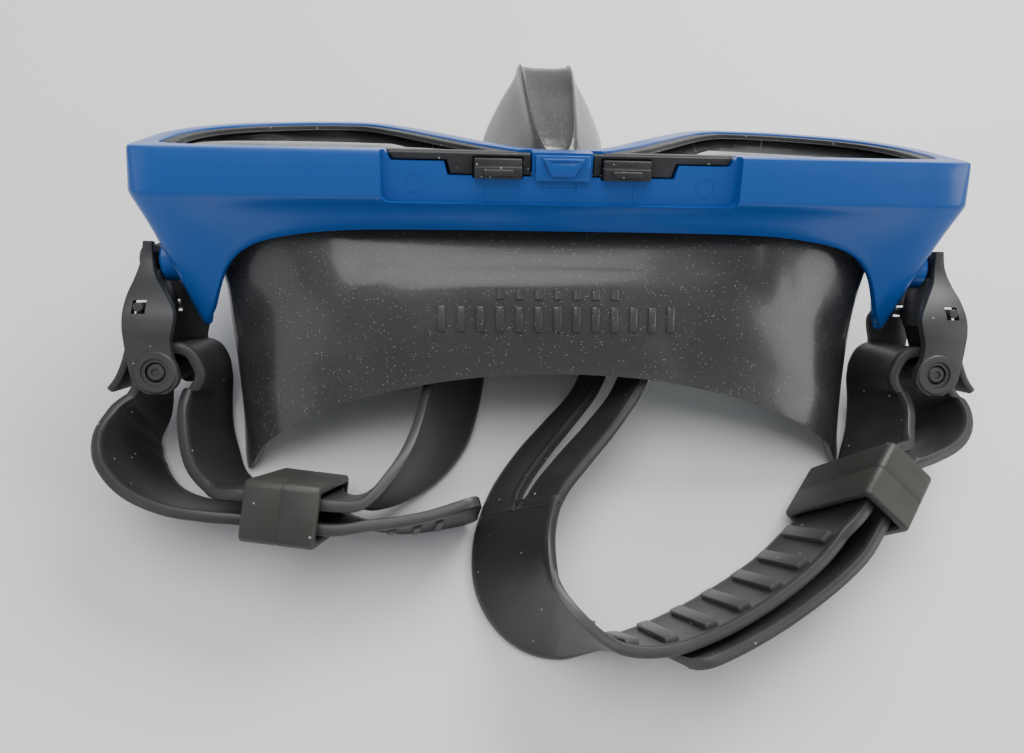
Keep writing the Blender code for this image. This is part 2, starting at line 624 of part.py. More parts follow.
def raised(ring):
    """Points below the floor, if any, brought up to it."""
    return [Vector((v.x, v.y, max(v.z, floor_z(v.y)))) for v in ring]


def nose_loft(name, inset, silicone, parent):
    rings = []
    stations = NOSE_SECTIONS
    for y, base, ridge, top, low in stations:
        y_in = y * MM * SCALE_Y
        if inset:
            middle = 0.5 * (stations[0][0] + stations[-1][0])
            y_in += inset * (1 if y < middle else -1) * (abs(y - middle) / (middle - stations[0][0])) ** 2
        base_x = max(base * MM - inset, 0.6 * MM)
        ridge_x = max(ridge * MM - inset * 0.7, 0.4 * MM)
        top_z = top * MM - inset
        low_z = low * MM - (9 * MM if inset else 0.0)
        rings.append(nose_section(y_in, base_x, ridge_x, top_z, low_z))
    return loft(name, rings, silicone, parent, cutter=True)


def nose_section(y, base_x, ridge_x, top_z, low_z):
    """Rounded trapezium across the nose."""
    height = top_z - max(low_z, -7 * MM)
    side = [(base_x, low_z), (base_x, low_z + 0.2 * (top_z - low_z)),
            (0.5 * (base_x + ridge_x) + 0.6 * MM, top_z - 0.45 * height),
            (ridge_x + 0.6 * MM, top_z - 0.12 * height), (ridge_x * 0.72, top_z)]
    outline = side + [(-x, z) for x, z in reversed(side)]
    return [Vector((x, y, z)) for x, z in outline]


def build_retainer(parent, black):
    """Bar behind the forehead edge that clamps the skirt's flange to the frame."""
    ring = [Vector((v.x, v.y, 0)) for v in skirt_ring(NECK_RING)]
    inner = offset([(v.x, v.y) for v in ring], CLEARANCE)
    outer = offset([(v.x, v.y) for v in ring], CLEARANCE + 2.6 * MM)
    keep = 12
    order = list(range(len(ring) - keep, len(ring))) + list(range(keep + 1))
    z_high = -FLANGE_BACK - 2.5 * CLEARANCE
    z_low = z_high - RETAINER_THICKNESS
    sections = [[Vector((*inner[i], z_low)), Vector((*outer[i], z_low)),
                 Vector((*outer[i], z_high)), Vector((*inner[i], z_high))] for i in order]
    return loft("inner_retainer", sections, black, parent)


# ---- buckles ------------------------------------------------------------------
class BuckleAxes:
    """Axes of one buckle: out is outboard, back runs from pivot to roller, up lies along the roller."""

    def __init__(self, side):
        self.side = side
        self.pivot = pivot_point(side)
        self.back = Vector((0, -math.sin(BUCKLE_LEAN), -math.cos(BUCKLE_LEAN)))
        self.up = Vector((0, -math.cos(BUCKLE_LEAN), math.sin(BUCKLE_LEAN)))
        self.roller = self.pivot + self.back * PIVOT_TO_ROLLER

    def local(self, out, back, up):
        """Point measured from the roller's middle, relative to the pivot, in metres."""
        out_vector = Vector((self.side * out, 0, 0))
        return self.roller - self.pivot + out_vector + self.back * back + self.up * up


def half_gap():
    return STRAP_WIDTH / 2 + CLEARANCE


def build_cheek(axes, sign, name, material, parent):
    rings = []
    for back, low, high, close in CHEEK_STATIONS:
        inner_face = half_gap() + (YOKE_HALF - half_gap()) * close
        outer_face = inner_face + CHEEK
        corners = ((low, inner_face), (high, inner_face), (high, outer_face), (low, outer_face))
        rings.append([axes.local(out * MM, back * MM, sign * up) for out, up in corners])
    return loft(name, rings, material, parent, cutter=True)


def build_buckle(side, word, root, grey):
    axes = BuckleAxes(side)
    empty = make_empty(f"buckle_pivot_{word}_axis", root, axes.pivot)
    half = half_gap()
    yoke_high = YOKE_HALF + 0.8 * CHEEK
    rings = []
    for back in (-25.2, -19.2):
        corners = ((2.45, -yoke_high), (4.4, -yoke_high), (4.4, yoke_high), (2.45, yoke_high))
        rings.append([axes.local(out * MM, back * MM, up) for out, up in corners])
    body = loft(f"buckle_body_{word}", rings, grey, empty)
    for sign in (1, -1):
        boolean(body, build_cheek(axes, sign, f"cheek_{word}_{sign}", grey, empty), "UNION")
        boss = cylinder(f"boss_{word}_{sign}", axes.local(0, 0, sign * (half + 0.1 * MM)),
                        axes.local(0, 0, sign * (half + CHEEK + 0.25 * MM)), BOSS_RADIUS, grey, empty,
                        sides=32, cutter=True)
        boolean(body, boss, "UNION")
    pin_cut = cylinder(f"roller_bore_{word}", axes.local(0, 0, -20 * MM), axes.local(0, 0, 20 * MM),
                       PIN_RADIUS + CLEARANCE, grey, empty, cutter=True)
    boolean(body, pin_cut)
    notch_out, notch_back = LEVER_HINGE
    notch = [axes.local((notch_out + dx) * MM, (notch_back + dy) * MM, up * MM)
             for up in (-20, 20) for dx, dy in ((-1.3, -1.3), (1.3, -1.3), (1.3, 1.3), (-1.3, 1.3))]
    boolean(body, loft(f"notch_{word}", [notch[:4], notch[4:]], grey, empty, cutter=True))
    pivot_cut = cylinder(f"pivot_bore_{word}", (-side * 6 * MM, 0, 0), (side * 9 * MM, 0, 0),
                         LUG_PIN_RADIUS + CLEARANCE, grey, empty, cutter=True)
    boolean(body, pivot_cut)
    build_lever(axes, word, empty, grey)
    build_roller(axes, word, empty, grey)
    return empty


def build_roller(axes, word, empty, grey):
    half = half_gap()
    length = half - CLEARANCE
    centre = make_empty(f"strap_roller_{word}_axis", empty, axes.local(0, 0, 0))
    to_centre = -axes.local(0, 0, 0)
    ends = [axes.local(0, 0, sign * length) + to_centre for sign in (-1, 1)]
    roller = cylinder(f"strap_roller_{word}", ends[0], ends[1], ROLLER_RADIUS, grey, centre)
    bore = [axes.local(0, 0, sign * 20 * MM) + to_centre for sign in (-1, 1)]
    boolean(roller, cylinder(f"roller_hole_{word}", bore[0], bore[1], PIN_RADIUS + CLEARANCE, grey,
                             centre, cutter=True))
    cylinder(f"roller_pin_{word}", axes.local(0, 0, -half - CHEEK), axes.local(0, 0, half + CHEEK),
             PIN_RADIUS, grey, empty)


def strip(path, thickness, axes, reach, origin):
    """Rings of a plate that follows a path across the buckle, as wide as its reach each way."""
    rings = []
    for i, (out, back) in enumerate(path):
        before = Vector(path[max(i - 1, 0)])
        after = Vector(path[min(i + 1, len(path) - 1)])
        run = (after - before).normalized()
        normal = Vector((-run.y, run.x)) * (thickness / 2)
        corners = []
        for sign, up in ((-1, -reach), (1, -reach), (1, reach), (-1, reach)):
            corners.append(axes.local(out * MM + sign * normal.x, back * MM + sign * normal.y, up) - origin)
        rings.append(corners)
    return rings


def build_lever(axes, word, empty, grey):
    half = half_gap()
    hinge = axes.local(LEVER_HINGE[0] * MM, LEVER_HINGE[1] * MM, 0)
    pivot = make_empty(f"release_lever_{word}_axis", empty, hinge)
    path = catmull_rom(LEVER_PATH, 2, closed=False)
    lever = loft(f"release_lever_{word}", strip(path, LEVER_THICKNESS, axes, half - 4 * CLEARANCE, hinge),
                 grey, pivot)
    reach = half + CHEEK * 0.8
    trunnion = cylinder(f"lever_trunnion_{word}",
                        axes.local(LEVER_HINGE[0] * MM, LEVER_HINGE[1] * MM, -reach) - hinge,
                        axes.local(LEVER_HINGE[0] * MM, LEVER_HINGE[1] * MM, reach) - hinge,
                        0.9 * MM, grey, pivot, sides=16, cutter=True)
    boolean(lever, trunnion, "UNION")
    pawl = [(6.3, -4.4), (4.5, -3.9), (6.2, -2.4)]
    rings = [[axes.local(out * MM, back * MM, up) - hinge for out, back in pawl]
             for up in (-7.5 * MM, 7.5 * MM)]
    boolean(lever, loft(f"lever_pawl_{word}", rings, grey, pivot, cutter=True), "UNION")
    loft(f"lever_spring_{word}", strip(SPRING_PATH, 0.6 * MM, axes, 3.5 * MM, Vector((0, 0, 0))), grey, empty)


def build_pivot_pin(side, word, root, grey):
    """Headed pin through the buckle's yoke into the frame's lug."""
    pivot = pivot_point(side)
    start = pivot + Vector((-side * 1.6 * MM, 0, 0))
    shoulder = pivot + Vector((side * (4.5 * MM + CLEARANCE), 0, 0))
    head_end = shoulder + Vector((side * 0.9 * MM, 0, 0))
    pin = cylinder(f"buckle_pivot_pin_{word}", start, shoulder, LUG_PIN_RADIUS, grey, root)
    head = cylinder(f"pin_head_{word}", shoulder - Vector((side * 0.01 * MM, 0, 0)), head_end,
                    2.8 * MM, grey, root, cutter=True)
    boolean(pin, head, "UNION")


# ---- strap and keepers ----------------------------------------------------------
def keeper_axes(word):
    data = KEEPERS[word]
    x, y, z = data["centre"]
    centre = Vector((follow_buckle(x * MM), y * MM, z * MM))
    run = Vector((*data["run"], 0)).normalized()
    width = Vector((*data["lean"], 1.0 - 0.5 * Vector(data["lean"]).length_squared))
    width = (width - run * width.dot(run)).normalized()
    across = width.cross(run).normalized()
    if across.z > 0:
        across = -across
    return centre, run, width, across


def follow_buckle(x):
    """Strap loops move outwards with the buckles when the frame gets wider."""
    shift = (FRAME_WIDTH - SHAPE_WIDTH) / 2
    share = min(max((abs(x) - 20 * MM) / (25 * MM), 0.0), 1.0)
    return x + math.copysign(shift * share, x)


def route_points(points, scale=1.0):
    result = []
    for x, y, z, lean_x, lean_y in points:
        up = math.sqrt(max(1.0 - lean_x ** 2 - lean_y ** 2, 0.05))
        result.append((follow_buckle(x * MM), y * MM, z * MM, lean_x, lean_y, up, scale))
    return result


def bend_points(side, reverse):
    """Strap over the roller, outboard side first unless reversed."""
    axes = BuckleAxes(side)
    radius = ROLLER_RADIUS + CLEARANCE + STRAP_THICKNESS / 2
    points = []
    for out, back in ROLLER_BEND:
        place = axes.pivot + axes.local(out * radius, back * radius, 0)
        points.append((*place, *axes.up, 1.0))
    return points[::-1] if reverse else points


def keeper_points(word, layer):
    """Straight stretch of one strap layer through a keeper; layer is +1 outside, -1 inside."""
    centre, run, width, across = keeper_axes(word)
    place = centre + across * layer * (LAYER_GAP + STRAP_THICKNESS) / 2
    reach = KEEPER_LENGTH / 2 + 0.8 * MM
    return [(*(place + run * along), *width, 1.0) for along in (-reach, -reach / 3, reach / 3, reach)]


def strap_route():
    route = route_points(LEFT_TAIL)
    route += keeper_points("left", 1)[::-1]
    route += route_points(LEFT_OUTER)
    route += bend_points(-1, reverse=False)
    route += route_points(LEFT_INNER)
    route += keeper_points("left", -1)
    route += route_points(LEFT_HEAD)
    route += route_points(INNER_LOOP, PAD_WIDENING * 0.9)
    route += route_points(LOBE, PAD_WIDENING)
    route += route_points(RIGHT_RUN)
    route += keeper_points("right", -1)[::-1]
    route += route_points(RIGHT_INNER)
    route += bend_points(1, reverse=True)
    route += route_points(RIGHT_OUTER)
    route += keeper_points("right", 1)
    route += route_points(RIGHT_TAIL)
    return route


def build_strap(root, silicone):
    """One flat band with its width across the route, never below the floor."""
    stations = catmull_rom(strap_route(), 2, closed=False)
    rings = []
    for i, station in enumerate(stations):
        place = Vector(station[:3])
        before = Vector(stations[max(i - 1, 0)][:3])
        after = Vector(stations[min(i + 1, len(stations) - 1)][:3])
        run = (after - before).normalized()
        width = Vector(station[3:6])
        width = (width - run * width.dot(run)).normalized()
        face = run.cross(width) * (STRAP_THICKNESS / 2)
        half = width * (STRAP_WIDTH * station[6] / 2)
        lowest = place.z - abs(half.z) - abs(face.z)
        if lowest < CLEARANCE:
            place.z += CLEARANCE - lowest
        rings.append([place - half - face, place + half - face, place + half + face, place - half + face])
    return loft("head_strap", rings, silicone, root)


def build_keeper(word, root, grey):
    """Square sleeve round both strap layers."""
    centre, run, width, across = keeper_axes(word)
    empty = make_empty(f"strap_keeper_{word}_axis", root, centre)
    inner_w = STRAP_WIDTH / 2 + 2 * CLEARANCE
    inner_t = STRAP_THICKNESS + LAYER_GAP / 2 + 1.5 * CLEARANCE
    shapes = []
    for reach, w, t in ((KEEPER_LENGTH / 2, inner_w + KEEPER_WALL, inner_t + KEEPER_WALL),
                        (KEEPER_LENGTH, inner_w, inner_t)):
        rings = [[run * along + width * w * a + across * t * b for a, b in ((1, 1), (1, -1), (-1, -1), (-1, 1))]
                 for along in (-reach, reach)]
        shapes.append(rings)
    keeper = loft(f"strap_keeper_{word}", shapes[0], grey, empty)
    boolean(keeper, loft(f"keeper_hole_{word}", shapes[1], grey, empty, cutter=True))
    return keeper


# ---- assembly -------------------------------------------------------------------
def centre_on_floor(root):
    """Move everything so that the origin is under the middle of the assembly."""
    bpy.context.view_layer.update()
    graph = bpy.context.evaluated_depsgraph_get()
    low, high = Vector((1e9,) * 3), Vector((-1e9,) * 3)
    for obj in bpy.data.objects:
        if obj.type != "MESH" or obj.hide_render:
            continue
        evaluated = obj.evaluated_get(graph)
        for vertex in evaluated.data.vertices:
            place = evaluated.matrix_world @ vertex.co
            for axis in range(3):
                low[axis] = min(low[axis], place[axis])
                high[axis] = max(high[axis], place[axis])
    root.location = (-(low.x + high.x) / 2, -(low.y + high.y) / 2, -low.z)


def main():
    clear_scene()
    blue = make_material("blue_shell", (0.012, 0.105, 0.42), 0.32)
    black = make_material("carrier_black", (0.02, 0.02, 0.022), 0.6)
    silicone = make_material("dark_silicone", (0.045, 0.047, 0.048), 0.42)
    grey = make_material("buckle_grey", (0.05, 0.052, 0.053), 0.55)
    glass = make_material("lens_glass", (0.85, 0.9, 0.9), 0.03, transmission=1.0)
    root = make_empty("assembly")
    mask = make_empty("mask_axes", root, (0, 0, FRONT_HEIGHT), (-MASK_TILT, 0, 0))
    build_frame(mask, blue)
    build_bridge_clip(mask, blue)
    build_lens_units(mask, black, glass)
    build_latches(mask, black)
    build_skirt(mask, silicone)
    build_retainer(mask, black)
    for side, word in ((1, "right"), (-1, "left")):
        build_buckle(side, word, root, grey)
        build_pivot_pin(side, word, root, grey)
        build_keeper(word, root, grey)
    build_strap(root, silicone)
    centre_on_floor(root)


main()
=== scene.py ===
"""Diving mask lying on its skirt: finished pieces over the mechanical frame, in a plain studio."""
import math
from types import SimpleNamespace

import bmesh
import bpy
from bpy.props import EnumProperty, FloatProperty, FloatVectorProperty, PointerProperty
from bpy.types import Operator, Panel, PropertyGroup
from mathutils import Matrix, Vector
from mathutils.bvhtree import BVHTree


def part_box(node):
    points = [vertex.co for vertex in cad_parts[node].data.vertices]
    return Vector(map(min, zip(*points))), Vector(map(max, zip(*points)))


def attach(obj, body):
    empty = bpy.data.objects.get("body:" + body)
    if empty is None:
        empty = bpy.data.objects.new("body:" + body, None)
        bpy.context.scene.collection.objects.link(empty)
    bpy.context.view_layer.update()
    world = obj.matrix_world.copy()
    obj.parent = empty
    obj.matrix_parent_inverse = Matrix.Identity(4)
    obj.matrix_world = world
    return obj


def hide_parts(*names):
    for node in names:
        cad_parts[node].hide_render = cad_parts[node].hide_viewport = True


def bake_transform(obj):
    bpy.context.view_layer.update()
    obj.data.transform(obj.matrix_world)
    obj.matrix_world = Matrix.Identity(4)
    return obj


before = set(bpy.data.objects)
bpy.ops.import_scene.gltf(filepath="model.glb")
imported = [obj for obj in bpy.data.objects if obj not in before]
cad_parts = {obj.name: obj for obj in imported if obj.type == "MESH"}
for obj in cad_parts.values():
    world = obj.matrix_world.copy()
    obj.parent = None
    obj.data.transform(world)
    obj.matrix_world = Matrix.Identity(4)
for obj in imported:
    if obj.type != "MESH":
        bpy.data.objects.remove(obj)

bl_info = {
    "name": "Diving Mask",
    "version": (1, 0, 0),
    "blender": (4, 5, 0),
    "location": "View3D > Sidebar > Mask",
    "description": "Builds a twin-lens diving mask with swivel buckles and a folded strap",
    "category": "Object",
}

MM = 0.001
BUCKLE_LEAN = math.radians(50.0)    # run of a buckle from its pivot, below the horizontal
ROLLER_EDGE = (78.6, -30.5, 24.6)   # end of the right roller's run, in mm
SLIT_START, SLIT_END = (-18.4, -13, 9.1), (-8.4, -54, 9.0)  # where the head strap parts, in mm
CAMERA_LENS, CAMERA_SENSOR = 27.19, 36.0        # mm
CAMERA_TURN = (56.31, -5.67, -6.6)              # pitch, roll and yaw, in degrees
CAMERA_PLACE = (-19.18, -115.88, 152.55)        # mm

# Right half of the frame in mm, from the forehead's middle round to the nose:
# x and y at the front, depth, x and y at the rear edge.
FRAME_STATIONS = [
    (0, 0, 15.6, 0, 2.6), (20, 0, 15.6, 20, 2.6), (41, 0, 15.9, 41, 2.6),
    (53, 0, 17.0, 52.5, 2.6), (63, 0, 19.2, 61, 2.7), (70.8, 0, 23.8, 66.4, 2.9),
    (78, 0, 33.0, 70.4, 3.2), (81.4, 1.1, 36.4, 72.9, 4.2),
    (82.1, 5, 35.0, 73.8, 8), (82.3, 13, 27.0, 75.6, 15), (82.3, 22, 20.0, 77, 22),
    (79.2, 34, 15.0, 75.5, 32.5), (71.5, 43.8, 12.0, 69, 41.5), (59.5, 50, 8.0, 58.5, 48.8),
    (47, 52.5, 4.6, 47, 52.2), (38.5, 50.5, 4.6, 38.6, 50.3), (30, 41.5, 4.6, 30.1, 41.4),
    (21.5, 29.5, 4.6, 21.6, 29.4), (13.5, 17.5, 4.6, 13.6, 17.4),
    (7, 9.6, 4.6, 7, 9.5), (0, 7.4, 4.6, 0, 7.3),
]
LENS_OPENING = [
    (8.6, 4.4), (24, 4.2), (42, 4.2), (60, 4.2), (72.5, 4.3), (77.4, 6.8), (78.6, 14),
    (78.2, 23), (74.8, 32.6), (68, 40.2), (57.6, 46), (47, 48.3), (40.6, 46.6),
    (33.4, 39), (25, 27), (17, 15.4), (11, 8.2),
]
SKIRT_WINDOW = [
    (17, 11), (40, 10.8), (64, 10.8), (70, 14), (70.2, 24), (65.5, 33.5), (57, 40),
    (47, 42), (38.5, 38), (29.5, 27.5), (21.5, 17),
]
# Rings of the skirt's outer surface, right half, in mm; None lies on the floor.
FLANGE_RING = [
    (0, 5.2), (20, 5.2), (38, 5.2), (54, 5.2), (67, 5.3), (76.4, 7.2), (78.6, 16),
    (77.4, 27), (71, 37.6), (59, 45.6), (42, 49.2), (20, 50), (0, 50),
]
SKIRT_RINGS = [
    [(0, 8.2, -8.0), (20, 8.2, -8.0), (38, 8.2, -8.0), (53, 8.2, -8.0), (64, 8.4, -8.0),
     (72, 10.2, -8.0), (74.4, 17, -8.0), (73.2, 26.5, -8.0), (67.4, 36, -8.0),
     (56.5, 44.4, -8.2), (41, 50, -8.2), (20, 52, -8.2), (0, 52.5, -8.2)],
    [(0, 8.2, -12.5), (20, 8.2, -12.5), (38, 8.2, -12.6), (53, 8.2, -13), (63.5, 8.4, -14),
     (70.6, 10.6, -16), (73.4, 17, -15), (73, 27, -13), (67.6, 37, -11.5),
     (56.5, 46.5, -10.8), (41, 53, -10.5), (21, 57.5, -10), (0, 58.5, -9.8)],
    [(0, 5.4, -17.5), (20, 5.4, -17.5), (38, 5.4, -18), (51, 5.6, -20), (60, 6.2, -25),
     (67.2, 8.4, -32), (71, 16, -28), (72.4, 27, -20.5), (68.6, 38.5, -15.5),
     (57.5, 49.5, -12.8), (42, 58, -11.6), (22, 65, -10.8), (0, 67, -10.5)],
    [(0, -0.8, -26), (20, -0.8, -26.6), (38, -0.6, -29), (51, 0.4, -33.5), (59.5, 2, -38.5),
     (65.8, 5, -45), (69.8, 14, -39.5), (70.4, 26.5, -31), (66.4, 40, -23.5),
     (56, 53, -18), (41, 64, -14.6), (21, 71.5, -12.6), (0, 74, -12)],
    [(0, -6, -42.9), (20, -6, -44.2), (38, -6, -48), (52, -6, -53.6), (60, -5.4, -59.2),
     (65, -2.6, None), (67.6, 11, None), (67, 25, None), (62.4, 40, None),
     (53, 54, None), (38, 67, None), (20, 75.5, None), (0, 78.5, None)],
]
# Nose pocket: y, half width at the base and at the ridge, ridge z, base z.
NOSE_SECTIONS = [
    (8.6, 3.0, 1.6, -2.2, -6.3), (13, 6.0, 3.4, 0.8, -6.3), (20, 9.2, 4.6, 4.0, -6.3),
    (30, 12.0, 5.4, 8.6, -6.3), (39, 13.6, 5.9, 12.8, -6.3), (45, 14.2, 6.1, 14.6, -6.3),
    (50, 14.0, 5.9, 14.0, -7.5), (54, 13.0, 5.2, 10.5, -8.8), (57, 11.6, 4.3, 4.0, -9.2),
    (59, 10.0, 3.5, -3.0, -9.6),
]
# Buckle cheek: place before the roller, inboard and outboard edge, closing-in towards the pivot.
CHEEK_STATIONS = [
    (-25.6, 2.3, 4.1, 7.0), (-22, 2.3, 4.6, 7.0), (-18.6, 1.2, 5.2, 5.4), (-15, -1.6, 5.8, 2.6),
    (-11.6, -3.6, 6.0, 0.6), (-8.6, -3.4, 6.0, 0), (-6, -2.9, 5.8, 0), (-3, -3.2, 5.4, 0),
    (0, -4.2, 4.9, 0), (1.8, -4.2, 4.4, 0), (3.2, -3.3, 3.4, 0), (4.3, -1.7, 1.7, 0),
]
LEVER_PATH = [(3.0, -12.6), (4.6, -9.4), (5.9, -5.4), (7.0, -1.6), (8.4, 1.6), (10.2, 4.0)]
SPRING_PATH = [(1.9, -19.9), (1.8, -18.0), (1.0, -15.4), (0.7, -12.4), (1.0, -9.6)]
LEVER_HINGE = (3.0, -12.6)

# Strap route in mm over the floor: x, y, z, then the sideways lean of its width.
LEFT_TAIL = [
    (-16, -52.9, 9.6, 0, -0.22), (-24, -55.1, 9.6, 0, -0.28), (-31, -56.3, 10.0, 0, -0.32),
    (-38, -56.6, 11.0, 0, -0.4),
]
LEFT_OUTER = [
    (-64.5, -53.9, 11.9, -0.05, -0.5), (-72, -52.6, 11.4, -0.14, -0.46),
    (-79, -49.4, 10.8, -0.24, -0.4), (-83.8, -44.6, 10.4, -0.32, -0.34),
    (-85.8, -39.4, 10.2, -0.28, -0.4), (-85.6, -34.8, 10.5, -0.2, -0.46),
    (-84.2, -30.4, 11.0, -0.1, -0.56),
]
LEFT_INNER = [
    (-71.9, -27.6, 12.1, -0.12, -0.52), (-71.8, -32.4, 10.9, -0.2, -0.38),
    (-70.6, -37.4, 10.6, -0.26, -0.3), (-68.6, -42.6, 10.8, -0.3, -0.26),
    (-65.4, -47.0, 11.6, -0.34, -0.32), (-61.9, -49.6, 12.6, -0.26, -0.42),
]
LEFT_HEAD = [
    (-39.2, -52.4, 13.2, 0.1, -0.44), (-35.4, -50.4, 12.4, 0.08, -0.24),
    (-30.6, -45.9, 11.2, -0.02, -0.02), (-26.2, -39.6, 10.1, -0.24, 0.12),
    (-22.9, -32, 9.3, -0.44, 0.14), (-20.8, -23.4, 9.0, -0.48, 0.12),
]
INNER_LOOP = [
    (-18.4, -13, 9.1, -0.4, 0.04), (-14.4, -5.6, 9.6, -0.14, 0.1), (-7.4, -1.2, 9.7, -0.02, 0.14),
    (0.4, -0.4, 9.7, 0.04, 0.12), (8.2, -3, 9.7, 0.12, 0.08), (13.6, -8.4, 9.5, 0.3, 0.04),
]
LOBE = [
    (14.6, -15.6, 9.0, 0.48, -0.04), (11.2, -24.4, 8.8, 0.54, -0.18), (5.4, -32.6, 8.8, 0.58, -0.28),
    (-0.8, -40.6, 8.9, 0.6, -0.32), (-6.2, -49, 9.0, 0.64, -0.22), (-9.2, -58, 9.0, 0.66, -0.06),
    (-9.2, -66.4, 9.0, 0.6, 0.08), (-6, -73.6, 9.2, 0.4, 0.12), (0.4, -78.4, 9.6, 0.16, 0.0),
]
RIGHT_RUN = [
    (8, -79.9, 9.4, 0.08, -0.3), (15.6, -79, 9.1, 0.12, -0.42), (23, -76.5, 9.1, 0.18, -0.44),
    (30.2, -73.2, 9.3, 0.2, -0.44), (37.4, -69.3, 9.9, 0.22, -0.42), (44.2, -64.8, 11.0, 0.24, -0.38),
    (49.6, -60.2, 12.4, 0.26, -0.32),
]
RIGHT_INNER = [
    (67.0, -42.2, 12.0, 0.24, -0.3), (69.8, -37.2, 11.1, 0.24, -0.32), (71.6, -32.2, 10.9, 0.18, -0.38),
    (72.0, -27.6, 12.1, 0.1, -0.52),
]
RIGHT_OUTER = [
    (84.0, -30.4, 11.0, 0.1, -0.56), (83.4, -34.8, 10.4, 0.22, -0.46), (81.2, -38.4, 10.3, 0.28, -0.38),
    (77.6, -41.4, 10.7, 0.3, -0.34), (72.6, -44.2, 11.4, 0.3, -0.3),
]
RIGHT_TAIL = [
    (52.6, -64.0, 11.6, 0.28, -0.32), (46.8, -68.2, 10.6, 0.26, -0.38), (39.8, -72.4, 9.8, 0.24, -0.42),
    (32.4, -76.3, 9.3, 0.22, -0.44), (25.2, -79.6, 9.1, 0.2, -0.44), (19.4, -81.9, 9.1, 0.16, -0.42),
]
ROLLER_BEND = [
    (1.2, 1.1), (1.06, 0.42), (0.98, -0.16), (0.74, -0.66), (0.3, -0.96), (-0.26, -1.1),
    (-0.9, -1.12), (-1.42, -0.9), (-1.76, -0.36), (-1.9, 0.3),
]
KEEPERS = {
    "left": ((-50.7, -53.4, 13.0), (0.99, -0.139), (0.0, -0.54)),
    "right": ((60.0, -52.4, 13.0), (-0.62, -0.785), (0.27, -0.24)),
}


def length(name, default, description):
    """Length property; the default is given in mm."""
    return FloatProperty(name=name, description=description, default=default * MM, min=0.0,
                         precision=4, subtype="DISTANCE", unit="LENGTH")


class MaskSizes(PropertyGroup):
    """Sizes of the finished pieces."""
    tilt: FloatProperty(name="Mask tilt", description="Lens plane against the floor",
                        default=math.radians(33.0), subtype="ANGLE", unit="ROTATION")
    front_height: length("Front height", 54.1, "Forehead edge of the frame above the floor")
    crease_depth: length("Front band depth", 8.5, "Front edge of the frame to its crease")
    side_wall: length("Side wall", 2.0, "Wall of the frame's sides and wings")
    top_wall: length("Top wall", 4.4, "Wall of the frame behind the recess")
    plate: length("Front plate", 2.4, "Thickness of the frame round the lenses")
    recess_width: length("Recess width", 69.6, "Recess in the forehead edge, from side to side")
    recess_depth: length("Recess depth", 1.8, "How far the recess is sunk")
    recess_reach: length("Recess reach", 9.7, "How far the recess runs back from the front")
    carrier_rim: length("Carrier rim", 2.6, "Width of the lens carrier round the glass")
    glass_sink: length("Glass sink", 1.4, "Glass below the frame's front")
    glass_thickness: length("Glass thickness", 2.6, "Thickness of the lenses")
    latch_offset: length("Latch offset", 12.5, "Middle of a latch from the middle of the mask")
    latch_width: length("Latch width", 9.2, "Width of a latch tab")
    skirt_wall: length("Skirt wall", 2.0, "Wall of the silicone skirt")
    nose_wall: length("Nose wall", 1.8, "Wall of the nose pocket")
    strap_width: length("Strap width", 19.0, "Width of the strap at the buckles")
    strap_thickness: length("Strap thickness", 2.2, "Thickness of the strap")
    rib_pitch: length("Rib pitch", 7.4, "Distance between the strap's ribs")
    rib_height: length("Rib height", 0.9, "Height of the strap's ribs")
    layer_gap: length("Layer gap", 2.2, "Space between the two strap layers in a keeper")
    keeper_length: length("Keeper length", 13.6, "Length of a keeper along the strap")
    keeper_wall: length("Keeper wall", 1.6, "Wall of a keeper")
    pivot_reach: length("Pivot to roller", 22.0, "Buckle pivot to the strap roller")
    cheek: length("Buckle cheek", 1.8, "Thickness of a buckle cheek")
    yoke: length("Yoke half gap", 2.8, "Cheek's inner face from the middle, at the pivot")
    roller_radius: length("Roller radius", 2.6, "Radius of the strap roller")
    pin_radius: length("Roller pin radius", 1.7, "Radius of the roller pin")
    lug_pin_radius: length("Pivot pin radius", 1.6, "Radius of the buckle's pivot pin")
    gap: length("Clearance", 0.3, "Gap between pieces that touch")


def colour(name, value):
    return FloatVectorProperty(name=name, description=f"Base colour: {name.lower()}", subtype="COLOR",
                               size=4, default=(*value, 1.0), min=0, max=1)


class MaskColours(PropertyGroup):
    """Base colours of the finishes."""
    blue: colour("Blue shell", (0.006, 0.085, 0.36))
    black: colour("Lens carriers", (0.018, 0.018, 0.020))
    silicone: colour("Skirt silicone", (0.036, 0.036, 0.036))
    strap: colour("Strap silicone", (0.026, 0.026, 0.026))
    grey: colour("Buckle plastic", (0.036, 0.037, 0.037))
    keeper: colour("Keeper plastic", (0.030, 0.030, 0.026))
    dust: colour("Dust", (0.42, 0.42, 0.40))
    floor: colour("Floor", (0.80, 0.80, 0.81))


# ---- shared geometry --------------------------------------------------------------
def sizes():
    """The sizes in mm, and the tilt in radians."""
    group = bpy.context.scene.mask_sizes
    values = {key: round(getattr(group, key) / MM, 4) for key in group.__annotations__ if key != "tilt"}
    return SimpleNamespace(tilt=group.tilt, **values)


def shift():
    """Where the builder axes' origin lies in the row frame, from the right roller's middle."""
    low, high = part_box("roller_pin_right")
    middle = (Vector(low) + Vector(high)) / 2
    roller = Vector(buckle_roller(1))
    return middle - roller


def buckle_pivot(side):
    s = sizes()
    x, y, z = ROLLER_EDGE
    mid = s.strap_width / 2 + s.gap + s.cheek
    y += s.pivot_reach * math.sin(BUCKLE_LEAN) + mid * math.cos(BUCKLE_LEAN)
    z += s.pivot_reach * math.cos(BUCKLE_LEAN) - mid * math.sin(BUCKLE_LEAN)
    return Vector((side * x, y, z)) * MM


